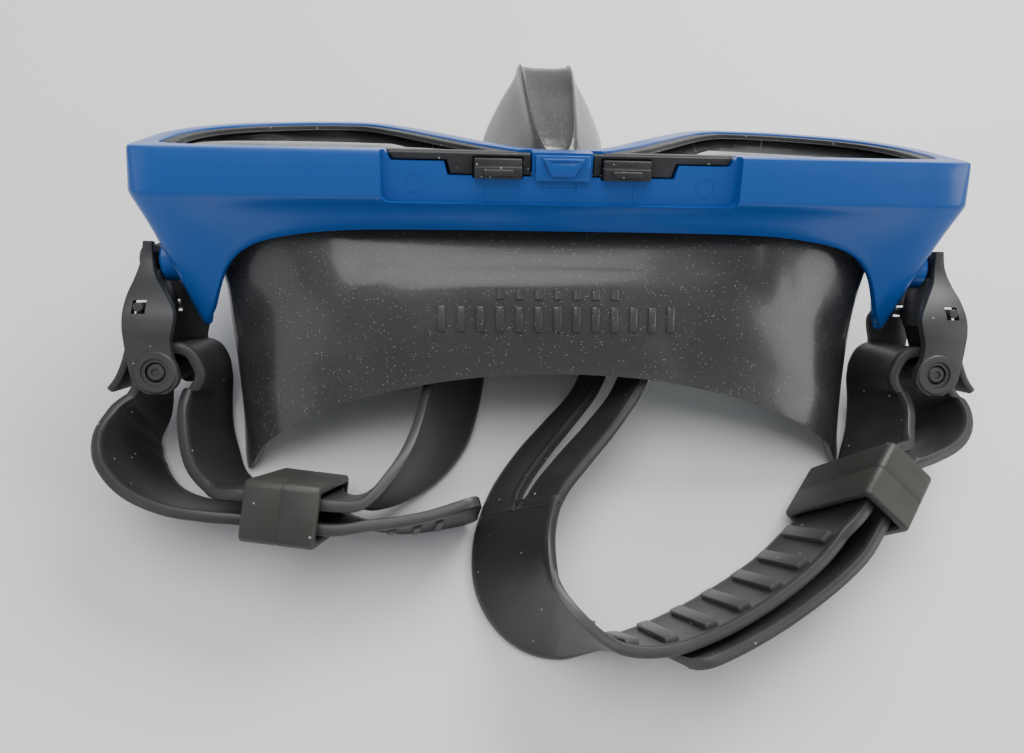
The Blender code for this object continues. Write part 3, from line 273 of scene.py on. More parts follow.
def buckle_axes():
    back = Vector((0, -math.sin(BUCKLE_LEAN), -math.cos(BUCKLE_LEAN)))
    up = Vector((0, -math.cos(BUCKLE_LEAN), math.sin(BUCKLE_LEAN)))
    return back, up


def buckle_roller(side):
    return buckle_pivot(side) + buckle_axes()[0] * sizes().pivot_reach * MM


def mask_matrix():
    """From mask axes (x across, y to the nose, z out of the lenses) to the row frame."""
    s = sizes()
    place = shift() + Vector((0, 0, s.front_height * MM))
    return Matrix.Translation(place) @ Matrix.Rotation(-s.tilt, 4, "X")


def floor_z(y):
    """Mask z, in mm, of the floor under a mask y."""
    s = sizes()
    return (y * math.sin(s.tilt) - s.front_height) / math.cos(s.tilt)


def smooth(edge0, edge1, x):
    t = min(max((x - edge0) / (edge1 - edge0), 0.0), 1.0)
    return t * t * (3 - 2 * t)


def catmull_rom(points, spans, closed=False):
    """Points on a smooth curve through tuples of any length."""
    count = len(points)
    result = []
    for i in range(count if closed else count - 1):
        if closed:
            p = [points[(i + k) % count] for k in (-1, 0, 1, 2)]
        else:
            p = [points[min(max(i + k, 0), count - 1)] for k in (-1, 0, 1, 2)]
        for step in range(spans):
            t = step / spans
            result.append(tuple(
                0.5 * (2 * b + (c - a) * t + (2 * a - 5 * b + 4 * c - d) * t * t
                       + (3 * b - a - 3 * c + d) * t ** 3)
                for a, b, c, d in zip(*p)))
    if not closed:
        result.append(tuple(points[-1]))
    return result


def mirrored(half, x_fields=(0,)):
    left = [tuple(-v if i in x_fields else v for i, v in enumerate(p)) for p in half[-2:0:-1]]
    return list(half) + left


def turn_of(outline):
    area = sum(a[0] * b[1] - b[0] * a[1] for a, b in zip(outline, outline[1:] + outline[:1]))
    return 1.0 if area > 0 else -1.0


def offset(outline, distance):
    """Closed outline of 2-D points moved outwards."""
    turn = turn_of(outline)
    result = []
    for i, (x, y) in enumerate(outline):
        tangent = (Vector(outline[(i + 1) % len(outline)]) - Vector(outline[i - 1])).normalized()
        result.append((x + tangent.y * distance * turn, y - tangent.x * distance * turn))
    return result


def shrink(outline, distance):
    """Outline moved inwards, without the points that a tight corner would fold over."""
    return [p for p in offset(outline, -distance) if distance_to(outline, p) > 0.93 * distance]


def distance_to(outline, point):
    place = Vector(point)
    nearest = 1e9
    for i, end in enumerate(outline):
        a, b = Vector(outline[i - 1]), Vector(end)
        along = min(max((place - a).dot(b - a) / max((b - a).length_squared, 1e-9), 0.0), 1.0)
        nearest = min(nearest, (place - a.lerp(b, along)).length)
    return nearest


def flip(outline, side):
    return outline if side > 0 else [(-x, y) for x, y in outline][::-1]


def add_object(name, data):
    """Object in the scene, its name written with underscores."""
    obj = bpy.data.objects.new(name.replace(" ", "_"), data)
    bpy.context.scene.collection.objects.link(obj)
    return obj


def new_object(name, verts, faces, material, angle=32):
    """Mesh object with outward normals, shaded smooth up to an angle."""
    mesh = bpy.data.meshes.new(name)
    mesh.from_pydata([tuple(v) for v in verts], [], faces)
    obj = add_object(name, mesh)
    if material:
        mesh.materials.append(material)
    tidy(obj, angle)
    return obj


def tidy(obj, angle=32):
    """Outward normals, with edges sharper than an angle kept sharp."""
    bm = bmesh.new()
    bm.from_mesh(obj.data)
    bmesh.ops.remove_doubles(bm, verts=bm.verts, dist=1e-7)
    bmesh.ops.recalc_face_normals(bm, faces=bm.faces)
    limit = math.radians(angle)
    for face in bm.faces:
        face.smooth = True
    for edge in bm.edges:
        edge.smooth = len(edge.link_faces) == 2 and edge.calc_face_angle(0.0) < limit
    bm.to_mesh(obj.data)
    bm.free()
    return obj


def loft(name, rings, material, closed=False, angle=32):
    """Quads between rings of equal length; closed joins the last ring to the first."""
    count, levels = len(rings[0]), len(rings)
    verts = [p for ring in rings for p in ring]
    faces = []
    for i in range(levels if closed else levels - 1):
        for j in range(count):
            k = (j + 1) % count
            n = (i + 1) % levels
            faces.append((i * count + j, i * count + k, n * count + k, n * count + j))
    if not closed:
        faces.append(tuple(range(count))[::-1])
        faces.append(tuple((levels - 1) * count + j for j in range(count)))
    return new_object(name, verts, faces, material, angle)


def prism(name, outline, low, high, material):
    """Outline in mm raised from one z to another."""
    rings = [[Vector((x, y, z)) * MM for x, y in outline] for z in (low, high)]
    return loft(name, rings, material)


def slab(name, outline, low, high, material, side=1):
    """Outline in x and z, in mm, pushed through from one y to another."""
    rings = [[Vector((x * side, y, z)) * MM for x, z in outline] for y in (low, high)]
    return loft(name, rings, material)


def circle(sides):
    """Unit directions round a circle."""
    return [(math.cos(a), math.sin(a)) for a in (2 * math.pi * i / sides for i in range(sides))]


def rod(name, start, end, radius, material, sides=48, chamfer=0.0):
    """Round bar between two points, with a chamfer at both ends."""
    start, end = Vector(start), Vector(end)
    axis = (end - start).normalized()
    side = axis.orthogonal().normalized()
    other = axis.cross(side)
    length = (end - start).length
    stops = [(0, radius), (length, radius)]
    if chamfer:
        stops = [(0, radius - chamfer), (chamfer, radius), (length - chamfer, radius),
                 (length, radius - chamfer)]
    rings = []
    for along, r in stops:
        rings.append([start + axis * along + (side * u + other * v) * r for u, v in circle(sides)])
    return loft(name, rings, material, angle=40)


def block(name, low, high, material):
    outline = [(low[0], low[1]), (high[0], low[1]), (high[0], high[1]), (low[0], high[1])]
    return prism(name, outline, low[2], high[2], material)


def evaluated(obj):
    graph = bpy.context.evaluated_depsgraph_get()
    return bpy.data.meshes.new_from_object(obj.evaluated_get(graph))


def bake(obj, angle=32):
    """Applies every modifier of an object."""
    bpy.context.view_layer.update()
    mesh = evaluated(obj)
    obj.modifiers.clear()
    obj.data = mesh
    return tidy(obj, angle)


def cut(obj, tool, operation="DIFFERENCE"):
    """Exact Boolean, applied; the tool is removed."""
    modifier = obj.modifiers.new("Cut", "BOOLEAN")
    modifier.operation = operation
    modifier.solver = "EXACT"
    modifier.object = tool
    bake(obj)
    bpy.data.objects.remove(tool)
    return obj


def soften(obj, width, segments=2, angle=34):
    """Rounded edges, applied."""
    bevel = obj.modifiers.new("Round", "BEVEL")
    bevel.width = width * MM
    bevel.segments = segments
    bevel.limit_method = "ANGLE"
    bevel.angle_limit = math.radians(angle)
    bevel.use_clamp_overlap = True
    return bake(obj, 50)


def join(objects, name):
    """One object from several, with its own name."""
    bm = bmesh.new()
    materials = []
    for obj in objects:
        start = len(bm.faces)
        bm.from_mesh(obj.data)
        bm.faces.ensure_lookup_table()
        slots = []
        for material in obj.data.materials:
            if material not in materials:
                materials.append(material)
            slots.append(materials.index(material))
        for face in bm.faces[start:]:
            face.material_index = slots[face.material_index] if slots else 0
    mesh = bpy.data.meshes.new(name)
    bm.to_mesh(mesh)
    bm.free()
    for material in materials:
        mesh.materials.append(material)
    for obj in objects:
        bpy.data.objects.remove(obj)
    return add_object(name, mesh)


def place(obj, matrix, body, slot, *nodes):
    """Moves a finished piece into the row frame and lets it ride with its body."""
    obj.data.transform(matrix)
    if nodes:
        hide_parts(*nodes)
    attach(obj, body)
    return obj


def press_on_floor(obj):
    """Soft rim that reaches below the floor flattens against it."""
    for vertex in obj.data.vertices:
        vertex.co.z = max(vertex.co.z, 0.0)


def finish_named(name):
    return bpy.data.materials[name]


# ---- finishes ---------------------------------------------------------------------
class Shader:
    """Small wrapper that adds nodes and links to one node tree."""

    def __init__(self, tree):
        self.tree = tree

    def add(self, kind, **settings):
        node = self.tree.nodes.new(kind)
        for key, value in settings.items():
            setattr(node, key, value)
        return node

    def link(self, source, target):
        self.tree.links.new(source, target)

    def math(self, operation, first, second, clamp=False):
        """Math node fed by sockets or constants."""
        node = self.add("ShaderNodeMath", operation=operation, use_clamp=clamp)
        for socket, value in zip(node.inputs, (first, second)):
            if isinstance(value, (int, float)):
                socket.default_value = value
            else:
                self.link(value, socket)
        return node.outputs[0]

    def noise(self, scale, detail=3.0, roughness=0.5):
        """Noise in object coordinates."""
        where = self.add("ShaderNodeTexCoord")
        node = self.add("ShaderNodeTexNoise")
        node.inputs["Detail"].default_value = detail
        node.inputs["Roughness"].default_value = roughness
        self.link(where.outputs["Object"], node.inputs["Vector"])
        if isinstance(scale, (int, float)):
            node.inputs["Scale"].default_value = scale
        else:
            self.link(scale, node.inputs["Scale"])
        return node.outputs["Fac"]


def effect_group(name, inputs, output_type="NodeSocketFloat", output="Mask"):
    """Empty shader node group with value inputs and one output."""
    tree = bpy.data.node_groups.new(name, "ShaderNodeTree")
    for label, value in inputs:
        socket = tree.interface.new_socket(label, in_out="INPUT", socket_type="NodeSocketFloat")
        socket.default_value = value
    tree.interface.new_socket(output, in_out="OUTPUT", socket_type=output_type)
    shader = Shader(tree)
    entry = shader.add("NodeGroupInput")
    leave = shader.add("NodeGroupOutput")
    return shader, entry, leave


def dust_group():
    """Scattered light specks: cells of a Voronoi pattern with a small random dot in some of them."""
    shader, entry, leave = effect_group("Dust Specks", [("Scale", 900.0), ("Amount", 0.3)])
    where = shader.add("ShaderNodeTexCoord")
    cells = shader.add("ShaderNodeTexVoronoi")
    shader.link(where.outputs["Object"], cells.inputs["Vector"])
    shader.link(entry.outputs["Scale"], cells.inputs["Scale"])
    parts = shader.add("ShaderNodeSeparateColor")
    shader.link(cells.outputs["Color"], parts.inputs["Color"])
    radius = shader.math("MULTIPLY", parts.outputs["Green"], 0.26)
    dot = shader.math("LESS_THAN", cells.outputs["Distance"], radius)
    patches = shader.math("MULTIPLY", shader.noise(60.0), entry.outputs["Amount"])
    chosen = shader.math("LESS_THAN", parts.outputs["Red"], patches)
    shader.link(shader.math("MULTIPLY", dot, chosen), leave.inputs["Mask"])
    return shader.tree


def film_group():
    """Thin uneven film of dust or grease, as a soft mask."""
    shader, entry, leave = effect_group("Uneven Film", [("Scale", 40.0), ("Low", 0.45), ("High", 0.75)])
    span = shader.add("ShaderNodeMapRange", interpolation_type="SMOOTHSTEP")
    shader.link(shader.noise(entry.outputs["Scale"], 5.0, 0.6), span.inputs["Value"])
    shader.link(entry.outputs["Low"], span.inputs["From Min"])
    shader.link(entry.outputs["High"], span.inputs["From Max"])
    shader.link(span.outputs["Result"], leave.inputs["Mask"])
    return shader.tree


def grain_group():
    """Fine moulded grain as a bumped normal."""
    shader, entry, leave = effect_group(
        "Fine Grain", [("Scale", 2500.0), ("Strength", 0.2)], "NodeSocketVector", "Normal")
    bump = shader.add("ShaderNodeBump")
    bump.inputs["Distance"].default_value = 0.0001
    shader.link(shader.noise(entry.outputs["Scale"], 2.0), bump.inputs["Height"])
    shader.link(entry.outputs["Strength"], bump.inputs["Strength"])
    shader.link(bump.outputs["Normal"], leave.inputs["Normal"])
    return shader.tree


def edge_group():
    """Light rub on convex edges."""
    shader, entry, leave = effect_group("Edge Rub", [("Low", 0.52), ("High", 0.60)])
    shape = shader.add("ShaderNodeNewGeometry")
    span = shader.add("ShaderNodeMapRange", interpolation_type="SMOOTHSTEP")
    shader.link(shape.outputs["Pointiness"], span.inputs["Value"])
    shader.link(entry.outputs["Low"], span.inputs["From Min"])
    shader.link(entry.outputs["High"], span.inputs["From Max"])
    shader.link(span.outputs["Result"], leave.inputs["Mask"])
    return shader.tree


def use_group(shader, name, **values):
    node = shader.add("ShaderNodeGroup", node_tree=bpy.data.node_groups[name])
    for label, value in values.items():
        node.inputs[label].default_value = value
    return node.outputs[0]


def mix(shader, mask, first, second):
    """Colour mixed by a mask; the two may be colours or sockets."""
    node = shader.add("ShaderNodeMix", data_type="RGBA")
    shader.link(mask, node.inputs["Factor"])
    colours = [socket for socket in node.inputs if socket.type == "RGBA"]
    for socket, value in zip(colours, (first, second)):
        if hasattr(value, "is_linked"):
            shader.link(value, socket)
        else:
            socket.default_value = value
    return next(socket for socket in node.outputs if socket.type == "RGBA")


def moulded(name, base, roughness, dust, film, grain, rub, lighter=1.6, coat=0.0, specks=900.0):
    """Moulded plastic or silicone: base colour, film of dust, specks, grain and rubbed edges."""
    material = bpy.data.materials.new(name)
    material.use_nodes = True
    shader = Shader(material.node_tree)
    shader.tree.nodes.clear()
    surface = shader.add("ShaderNodeBsdfPrincipled")
    output = shader.add("ShaderNodeOutputMaterial")
    shader.link(surface.outputs["BSDF"], output.inputs["Surface"])
    dust_colour = tuple(bpy.context.scene.mask_colours.dust)
    base = tuple(base)
    light = tuple(min(v * lighter, 1.0) for v in base[:3]) + (1.0,)
    film_mask = use_group(shader, "Uneven Film", Scale=38.0, Low=0.42, High=0.78)
    rub_mask = use_group(shader, "Edge Rub", Low=0.515, High=0.60)
    speck_mask = use_group(shader, "Dust Specks", Scale=specks, Amount=dust)
    worn = mix(shader, shader.math("MULTIPLY", rub_mask, rub), base, light)
    filmed = mix(shader, shader.math("MULTIPLY", film_mask, film), worn, dust_colour)
    speckled = mix(shader, shader.math("MULTIPLY", speck_mask, 0.75), filmed, dust_colour)
    shader.link(speckled, surface.inputs["Base Color"])
    rough = shader.math("MULTIPLY", film_mask, 0.14)
    rough = shader.math("ADD", rough, roughness)
    rough = shader.math("ADD", rough, shader.math("MULTIPLY", speck_mask, 0.4), clamp=True)
    shader.link(rough, surface.inputs["Roughness"])
    shader.link(use_group(shader, "Fine Grain", Scale=2600.0, Strength=grain), surface.inputs["Normal"])
    surface.inputs["Coat Weight"].default_value = coat
    surface.inputs["Coat Roughness"].default_value = 0.12
    return material


def glass(name):
    material = bpy.data.materials.new(name)
    material.use_nodes = True
    surface = material.node_tree.nodes["Principled BSDF"]
    surface.inputs["Base Color"].default_value = (0.24, 0.26, 0.26, 1.0)
    surface.inputs["Specular IOR Level"].default_value = 0.4
    surface.inputs["Transmission Weight"].default_value = 1.0
    surface.inputs["Roughness"].default_value = 0.02
    surface.inputs["IOR"].default_value = 1.5
    return material


def plain(name, base, roughness):
    material = bpy.data.materials.new(name)
    material.use_nodes = True
    surface = material.node_tree.nodes["Principled BSDF"]
    surface.inputs["Base Color"].default_value = tuple(base)
    surface.inputs["Roughness"].default_value = roughness
    return material


class MASK_OT_finishes(Operator):
    """Makes the shared shader groups and the finishes"""
    bl_idname = "mask.finishes"
    bl_label = "Make Finishes"

    def execute(self, context):
        dust_group()
        film_group()
        grain_group()
        edge_group()
        tints = context.scene.mask_colours
        moulded("Mask Blue", tints.blue, 0.30, dust=0.0, film=0.004, grain=0.05, rub=0.12, coat=0.10)
        moulded("Mask Black", tints.black, 0.52, dust=0.55, film=0.10, grain=0.5, rub=0.5, specks=1100.0)
        moulded("Mask Skirt", tints.silicone, 0.30, dust=0.85, film=0.05, grain=0.12, rub=0.4, coat=0.3,
                specks=2400.0)
        moulded("Mask Nose", (0.022, 0.023, 0.021, 1.0), 0.50, dust=0.2, film=0.04, grain=0.05, rub=0.4,
                coat=0.0)
        moulded("Mask Strap", tints.strap, 0.38, dust=0.10, film=0.05, grain=0.12, rub=0.9, lighter=2.4)
        moulded("Mask Buckle", tints.grey, 0.46, dust=0.08, film=0.05, grain=0.35, rub=0.5)
        moulded("Mask Keeper", tints.keeper, 0.48, dust=0.06, film=0.06, grain=0.35, rub=0.5)
        glass("Mask Glass")
        plain("Mask Floor", tints.floor, 0.55)
        return {"FINISHED"}


# ---- frame, carriers and clip -----------------------------------------------------
def frame_wall(x, y):
    """Thick wall behind the recess, thin elsewhere, in mm."""
    s = sizes()
    if y >= s.top_wall or abs(x) > 51.0:
        return s.side_wall
    return s.side_wall + (s.top_wall - s.side_wall) * smooth(51.0, 43.0, abs(x))


def frame_section(front, crease, rear, inner, depth):
    """Cross-section of the frame's band, from the front edge back and round to the inside."""
    s = sizes()
    flare = min(1.0, depth / (2 * s.crease_depth))
    crease_z = min(s.crease_depth, 0.55 * depth)
    mid = front.lerp(crease, flare)
    front_in, mid_in, rear_in = inner
    mid_in = front_in.lerp(mid_in, flare)
    inward = (front_in - front).normalized()
    rise = (rear - mid)
    line = [
        (front + inward * 0.9, 0.0), (front + inward * 0.25, 0.18), (front, 0.8),
        (front.lerp(mid, 0.5), crease_z * 0.5), (mid - inward * 0.02, crease_z - 0.5),
        (mid - inward * 0.04, crease_z), (mid + inward * 0.10, crease_z + 0.55),
    ]
    for share in (0.2, 0.4, 0.6, 0.8):
        bow = 0.35 * math.sin(math.pi * share) * min(depth / 15.0, 1.4)
        line.append((mid + rise * share + inward * bow, crease_z + (depth - crease_z) * share))
    line += [
        (rear, depth - 0.7), (rear + inward * 0.3, depth - 0.15), (rear + inward * 0.9, depth),
        (rear_in - inward * 0.5, depth), (rear_in, depth - 0.5),
        (rear_in.lerp(mid_in, 0.5), (depth + crease_z) / 2), (mid_in, crease_z), (front_in, 0.0),
    ]
    return [Vector((p.x, p.y, -z)) * MM for p, z in line]


def frame_band(material):
    full = catmull_rom(mirrored(FRAME_STATIONS, x_fields=(0, 3)), 10, closed=True)
    front = [(p[0], p[1]) for p in full]
    rear = [(p[3], p[4]) for p in full]
    crease = offset(front, 0.8)
    walls = [frame_wall(x, y) for x, y in front]
    steps = []
    for outline, cap in ((front, 9.0), (crease, 9.0), (rear, sizes().side_wall)):
        unit = offset(outline, -1.0)
        steps.append([Vector(a).lerp(Vector(b), min(w, cap)) for a, b, w in zip(outline, unit, walls)])
    sections = []
    for i, station in enumerate(full):
        inner = [steps[k][i] for k in range(3)]
        outer = (Vector(front[i]), Vector(crease[i]), Vector(rear[i]))
        sections.append(frame_section(*outer, inner, station[2]))
    return loft("Frame Body", sections, material, closed=True, angle=38), front


def rounded(low, high, radius, steps=4):
    """Rounded rectangle as an outline of 2-D points."""
    points = []
    corners = ((high[0], low[1], -90), (high[0], high[1], 0), (low[0], high[1], 90), (low[0], low[1], 180))
    for cx, cy, start in corners:
        px = cx - radius if cx == high[0] else cx + radius
        py = cy - radius if cy == high[1] else cy + radius
        for k in range(steps + 1):
            a = math.radians(start + 90 * k / steps)
            points.append((px + math.cos(a) * radius, py + math.sin(a) * radius))
    return points


def recess_cutter(material):
    """Shallow recess with rounded lower corners, drawn in x and z and pushed through in y."""
    s = sizes()
    half = s.recess_width / 2
    outline = rounded((-half, -s.recess_reach), (half, 6.0), 1.6)
    rings = [[Vector((x * (1.0 + 0.004 * k), y, z)) * MM for x, z in outline]
             for k, y in ((2, -4.0), (1, 0.0), (0, s.recess_depth))]
    return loft("Recess Cutter", rings, material)


def pocket_span(side):
    """Low and high x of a latch's pocket."""
    s = sizes()
    reach = s.latch_width / 2 + s.gap
    return sorted((side * (s.latch_offset - reach), side * (s.latch_offset + reach)))


def lip_cutter(side, end, reach, material):
    s = sizes()
    outline = [(5.9, 3.0), (end, 3.0), (end, 0.0), (end - 1.2, -reach), (5.9, -reach)]
    return slab("Lip Cutter", outline, s.recess_depth - 1.0, s.top_wall + 1.5, material, side)


def lens_outline(inset=0.0, spans=8):
    outline = catmull_rom(LENS_OPENING, spans, closed=True)
    return shrink(outline, inset) if inset else outline


def build_frame():
    s = sizes()
    blue = finish_named("Mask Blue")
    shell, front = frame_band(blue)
    plate = prism("Plate", offset(front, -0.9), -s.plate, 0.0, blue)
    for side in (1, -1):
        cut(plate, prism("Lens Cutter", flip(lens_outline(), side), -9, 3, blue))
    soften(plate, 0.35, 2, 50)
    cut(shell, plate, "UNION")
    cut(shell, recess_cutter(blue))
    for side in (1, -1):
        low, high = pocket_span(side)
        cut(shell, block("Pocket", (low, 0.0, -5.1), (high, s.top_wall + 2, -0.9), blue))
        for end, reach in ((s.recess_width / 2 - 0.6, 2.0), (23.4, 4.6)):
            cut(shell, lip_cutter(side, end, reach, blue))
    return tidy(shell, 30)


def frame_lug(side):
    """Round lug for the buckle's pivot pin, with a rounded rim, in the row frame."""
    pivot = buckle_pivot(side)
    axis = Vector((side, 0, 0))
    start, end = pivot - axis * 2.9 * MM, pivot + axis * 1.35 * MM
    lug = rod("Lug", start, end, 4.2 * MM, finish_named("Mask Blue"), chamfer=0.5 * MM)
    bore = (sizes().lug_pin_radius + sizes().gap) * MM
    cut(lug, rod("Lug Bore", pivot - axis * 1.9 * MM, pivot + axis * 4 * MM, bore, None))
    lug.data.transform(Matrix.Translation(shift()))
    return lug


def copies(name, places, template, material):
    """Copies of one object on points, turned by two directions and scaled, through Geometry Nodes."""
    mesh = bpy.data.meshes.new(name)
    mesh.from_pydata([tuple(p[0]) for p in places], [], [])
    for label, index in (("along", 1), ("outward", 2), ("amount", 3)):
        attribute = mesh.attributes.new(label, "FLOAT_VECTOR", "POINT")
        attribute.data.foreach_set("vector", [v for p in places for v in p[index]])
    obj = add_object(name, mesh)
    tree = bpy.data.node_groups.get("Place Copies") or copy_tree()
    modifier = obj.modifiers.new("Copies", "NODES")
    modifier.node_group = tree
    for item in tree.interface.items_tree:
        if item.item_type == "SOCKET" and item.in_out == "INPUT":
            if item.name == "Piece":
                modifier[item.identifier] = template
            if item.name == "Finish":
                modifier[item.identifier] = material
    bpy.context.view_layer.update()
    result = evaluated(obj)
    obj.modifiers.clear()
    obj.data = result
    bpy.data.objects.remove(template)
    return tidy(obj, 35)


def named_vector(tree, name):
    node = tree.nodes.new("GeometryNodeInputNamedAttribute")
    node.data_type = "FLOAT_VECTOR"
    node.inputs["Name"].default_value = name
    return next(out for out in node.outputs if out.enabled and out.name == "Attribute")


def copy_tree():
    """Geometry Nodes: instances on points, aligned and scaled by attributes, then realised."""
    tree = bpy.data.node_groups.new("Place Copies", "GeometryNodeTree")
    face = tree.interface
    face.new_socket("Geometry", in_out="INPUT", socket_type="NodeSocketGeometry")
    face.new_socket("Piece", in_out="INPUT", socket_type="NodeSocketObject")
    face.new_socket("Finish", in_out="INPUT", socket_type="NodeSocketMaterial")
    face.new_socket("Geometry", in_out="OUTPUT", socket_type="NodeSocketGeometry")
    entry = tree.nodes.new("NodeGroupInput")
    leave = tree.nodes.new("NodeGroupOutput")
    piece = tree.nodes.new("GeometryNodeObjectInfo")
    turn = tree.nodes.new("FunctionNodeAxesToRotation")
    turn.primary_axis = "Z"
    turn.secondary_axis = "X"
    place_on = tree.nodes.new("GeometryNodeInstanceOnPoints")
    realise = tree.nodes.new("GeometryNodeRealizeInstances")
    finish = tree.nodes.new("GeometryNodeSetMaterial")
    links = tree.links
    links.new(entry.outputs["Piece"], piece.inputs["Object"])
    links.new(named_vector(tree, "outward"), turn.inputs["Primary Axis"])
    links.new(named_vector(tree, "along"), turn.inputs["Secondary Axis"])
    links.new(entry.outputs["Geometry"], place_on.inputs["Points"])
    links.new(piece.outputs["Geometry"], place_on.inputs["Instance"])
    links.new(turn.outputs["Rotation"], place_on.inputs["Rotation"])
    links.new(named_vector(tree, "amount"), place_on.inputs["Scale"])
    links.new(place_on.outputs["Instances"], realise.inputs["Geometry"])
    links.new(realise.outputs["Geometry"], finish.inputs["Geometry"])
    links.new(entry.outputs["Finish"], finish.inputs["Material"])
    links.new(finish.outputs["Geometry"], leave.inputs["Geometry"])
    return tree


def recess_marks():
    """Ejector-pin rings and small moulding blocks on the recess floor."""
    s = sizes()
    blue = finish_named("Mask Blue")
    rings = []
    for radius, high in ((1.9, 0.0), (1.9, 0.12), (1.6, 0.12), (1.6, 0.02)):
        rings.append([Vector((u * radius, v * radius, high)) * MM for u, v in circle(40)])
    ring = loft("Mark", rings, blue)
    floor = s.recess_depth * MM
    along, outward, full = (1, 0, 0), (0, -1, 0), (1, 1, 1)
    places = [((x * MM, floor, -6.0 * MM), along, outward, full) for x in (-28.6, 28.6)]
    marks = copies("Frame Ejector Marks", places, ring, blue)
    bars = block("Bar", (-0.5, -0.22, -0.1), (0.5, 0.22, 0.16), blue)
    places = [((x * MM, floor, z * MM), a, outward, size) for x, z, a, size in (
        (-14.6, -8.0, (0, 0, 1), (3.2, 1, 1)), (-3.2, -6.0, (0, 0, 1), (2.4, 1, 1)),
        (3.2, -6.0, (0, 0, 1), (2.4, 1, 1)), (0, -7.0, along, (6.0, 1, 1)),
        (14.6, -8.0, (0, 0, 1), (3.2, 1, 1)))]
    return [marks, copies("Frame Moulding Bars", places, bars, blue)]


class MASK_OT_frame(Operator):
    """Builds the blue frame with its recess, lugs and moulding marks"""
    bl_idname = "mask.frame"
    bl_label = "Build Frame"

    def execute(self, context):
        matrix = mask_matrix()
        shell = build_frame()
        shell.data.transform(matrix)
        for side in (1, -1):
            cut(shell, frame_lug(side), "UNION")
        place(tidy(shell, 30), Matrix.Identity(4), "mask", "blue_shell", "frame")
        for mark in recess_marks():
            place(mark, matrix, "mask", "blue_shell")
        return {"FINISHED"}


def build_carrier(side, word):
    """Black lens carrier with an inner bevel and steps into the lip."""
    s = sizes()
    black = finish_named("Mask Black")
    outer = flip(lens_outline(s.gap), side)
    carrier = prism("Lens Carrier " + word, outer, -4.6, -0.4, black)
    inner = flip(lens_outline(s.gap + s.carrier_rim, 5), side)
    cut(carrier, prism("Carrier Hole", inner, -9, 3, black))
    half = s.recess_width / 2
    for end, low in ((half - 0.6, 1.7), (23.4, 4.3)):
        outline = [(6.2, -0.5), (end - s.gap - 0.4, -0.5), (end - s.gap - 1.5, -low), (6.2, -low)]
        step = slab("Carrier Step", outline, s.recess_depth + 0.5, s.top_wall + 1.2, black, side)
        cut(carrier, step, "UNION")
    low, high = pocket_span(side)
    cut(carrier, block("Carrier Pocket", (low, -3, -5.1), (high, s.recess_depth + 1.8, -0.9), black))
    return soften(carrier, 0.22, 2, 40)


def build_gasket(side, word):
    """Thin seal ring between the carrier and the glass."""
    s = sizes()
    inset = s.gap + s.carrier_rim - 0.5
    outer = flip(lens_outline(inset, 5), side)
    low, high = -s.glass_sink - 0.02, -s.glass_sink + 0.28
    ring = prism("Lens Seal " + word, outer, low, high, finish_named("Mask Black"))
    inner = flip(shrink(lens_outline(s.gap + s.carrier_rim, 5), 0.5), side)
    cut(ring, prism("Seal Hole", inner, -9, 3, None))
    return soften(ring, 0.1, 1, 40)


def build_glass(side, word):
    s = sizes()
    outline = flip(shrink(lens_outline(s.gap + s.carrier_rim, 5), s.gap), side)
    pane = prism("Lens Glass " + word, outline, -s.glass_sink - s.glass_thickness, -s.glass_sink,
                 finish_named("Mask Glass"))
    return soften(pane, 0.25, 1, 40)


class MASK_OT_lenses(Operator):
    """Builds the lens carriers, seals and glass"""
    bl_idname = "mask.lenses"
    bl_label = "Build Lenses"

    def execute(self, context):
        matrix = mask_matrix()
        for side, word in ((1, "Right"), (-1, "Left")):
            low = word.lower()
            place(build_carrier(side, word), matrix, "mask", "carrier_black", f"lens_carrier_{low}")
            place(build_gasket(side, word), matrix, "mask", "carrier_black")
            place(build_glass(side, word), matrix, "mask", "lens_glass", f"lens_{low}")
        return {"FINISHED"}


def build_latch(side, word):
    """Press tab with a raised grip step, as wide as its pocket."""
    s = sizes()
    black = finish_named("Mask Black")
    x = side * s.latch_offset
    half = s.latch_width / 2
    tab = block("Lens Latch " + word, (x - half, -0.2, -4.8), (x + half, s.recess_depth + 0.2, -1.2), black)
    notch = block("Latch Notch", (x - half - 1, -1.0, -2.6), (x + half + 1, 0.55, 0.0), black)
    cut(tab, notch)
    grip = block("Latch Grip", (x - half * 0.62, -0.55, -4.3), (x + half * 0.62, 0.1, -3.1), black)
    cut(tab, grip, "UNION")
    return soften(tab, 0.22, 2, 40)


def build_clip():
    """Bridge clip with its tapered hook and a thin split line."""
    s = sizes()
    blue = finish_named("Mask Blue")
    clip = block("Bridge Clip", (-5.3, 0.5, -5.2), (5.3, s.recess_depth - s.gap, -0.4), blue)
    wedge = [(-4.0, -0.9), (4.0, -0.9), (2.2, -4.2), (-2.2, -4.2)]
    cut(clip, slab("Clip Hook", wedge, -0.5, 1.0, blue), "UNION")
    slot = [(-3.0, -1.3), (3.0, -1.3), (2.4, -1.8), (-2.4, -1.8)]
    cut(clip, slab("Clip Slot", slot, -1.5, -0.2, blue))
    return soften(clip, 0.2, 2, 40)


class MASK_OT_clip(Operator):
    """Builds the press tabs and the bridge clip"""
    bl_idname = "mask.clip"
    bl_label = "Build Latches and Clip"

    def execute(self, context):
        matrix = mask_matrix()
        for side, word in ((1, "Right"), (-1, "Left")):
            low = word.lower()
            place(build_latch(side, word), matrix, f"latch_{low}", "carrier_black", f"lens_latch_{low}")
        place(build_clip(), matrix, "mask", "blue_shell", "bridge_clip")
        return {"FINISHED"}


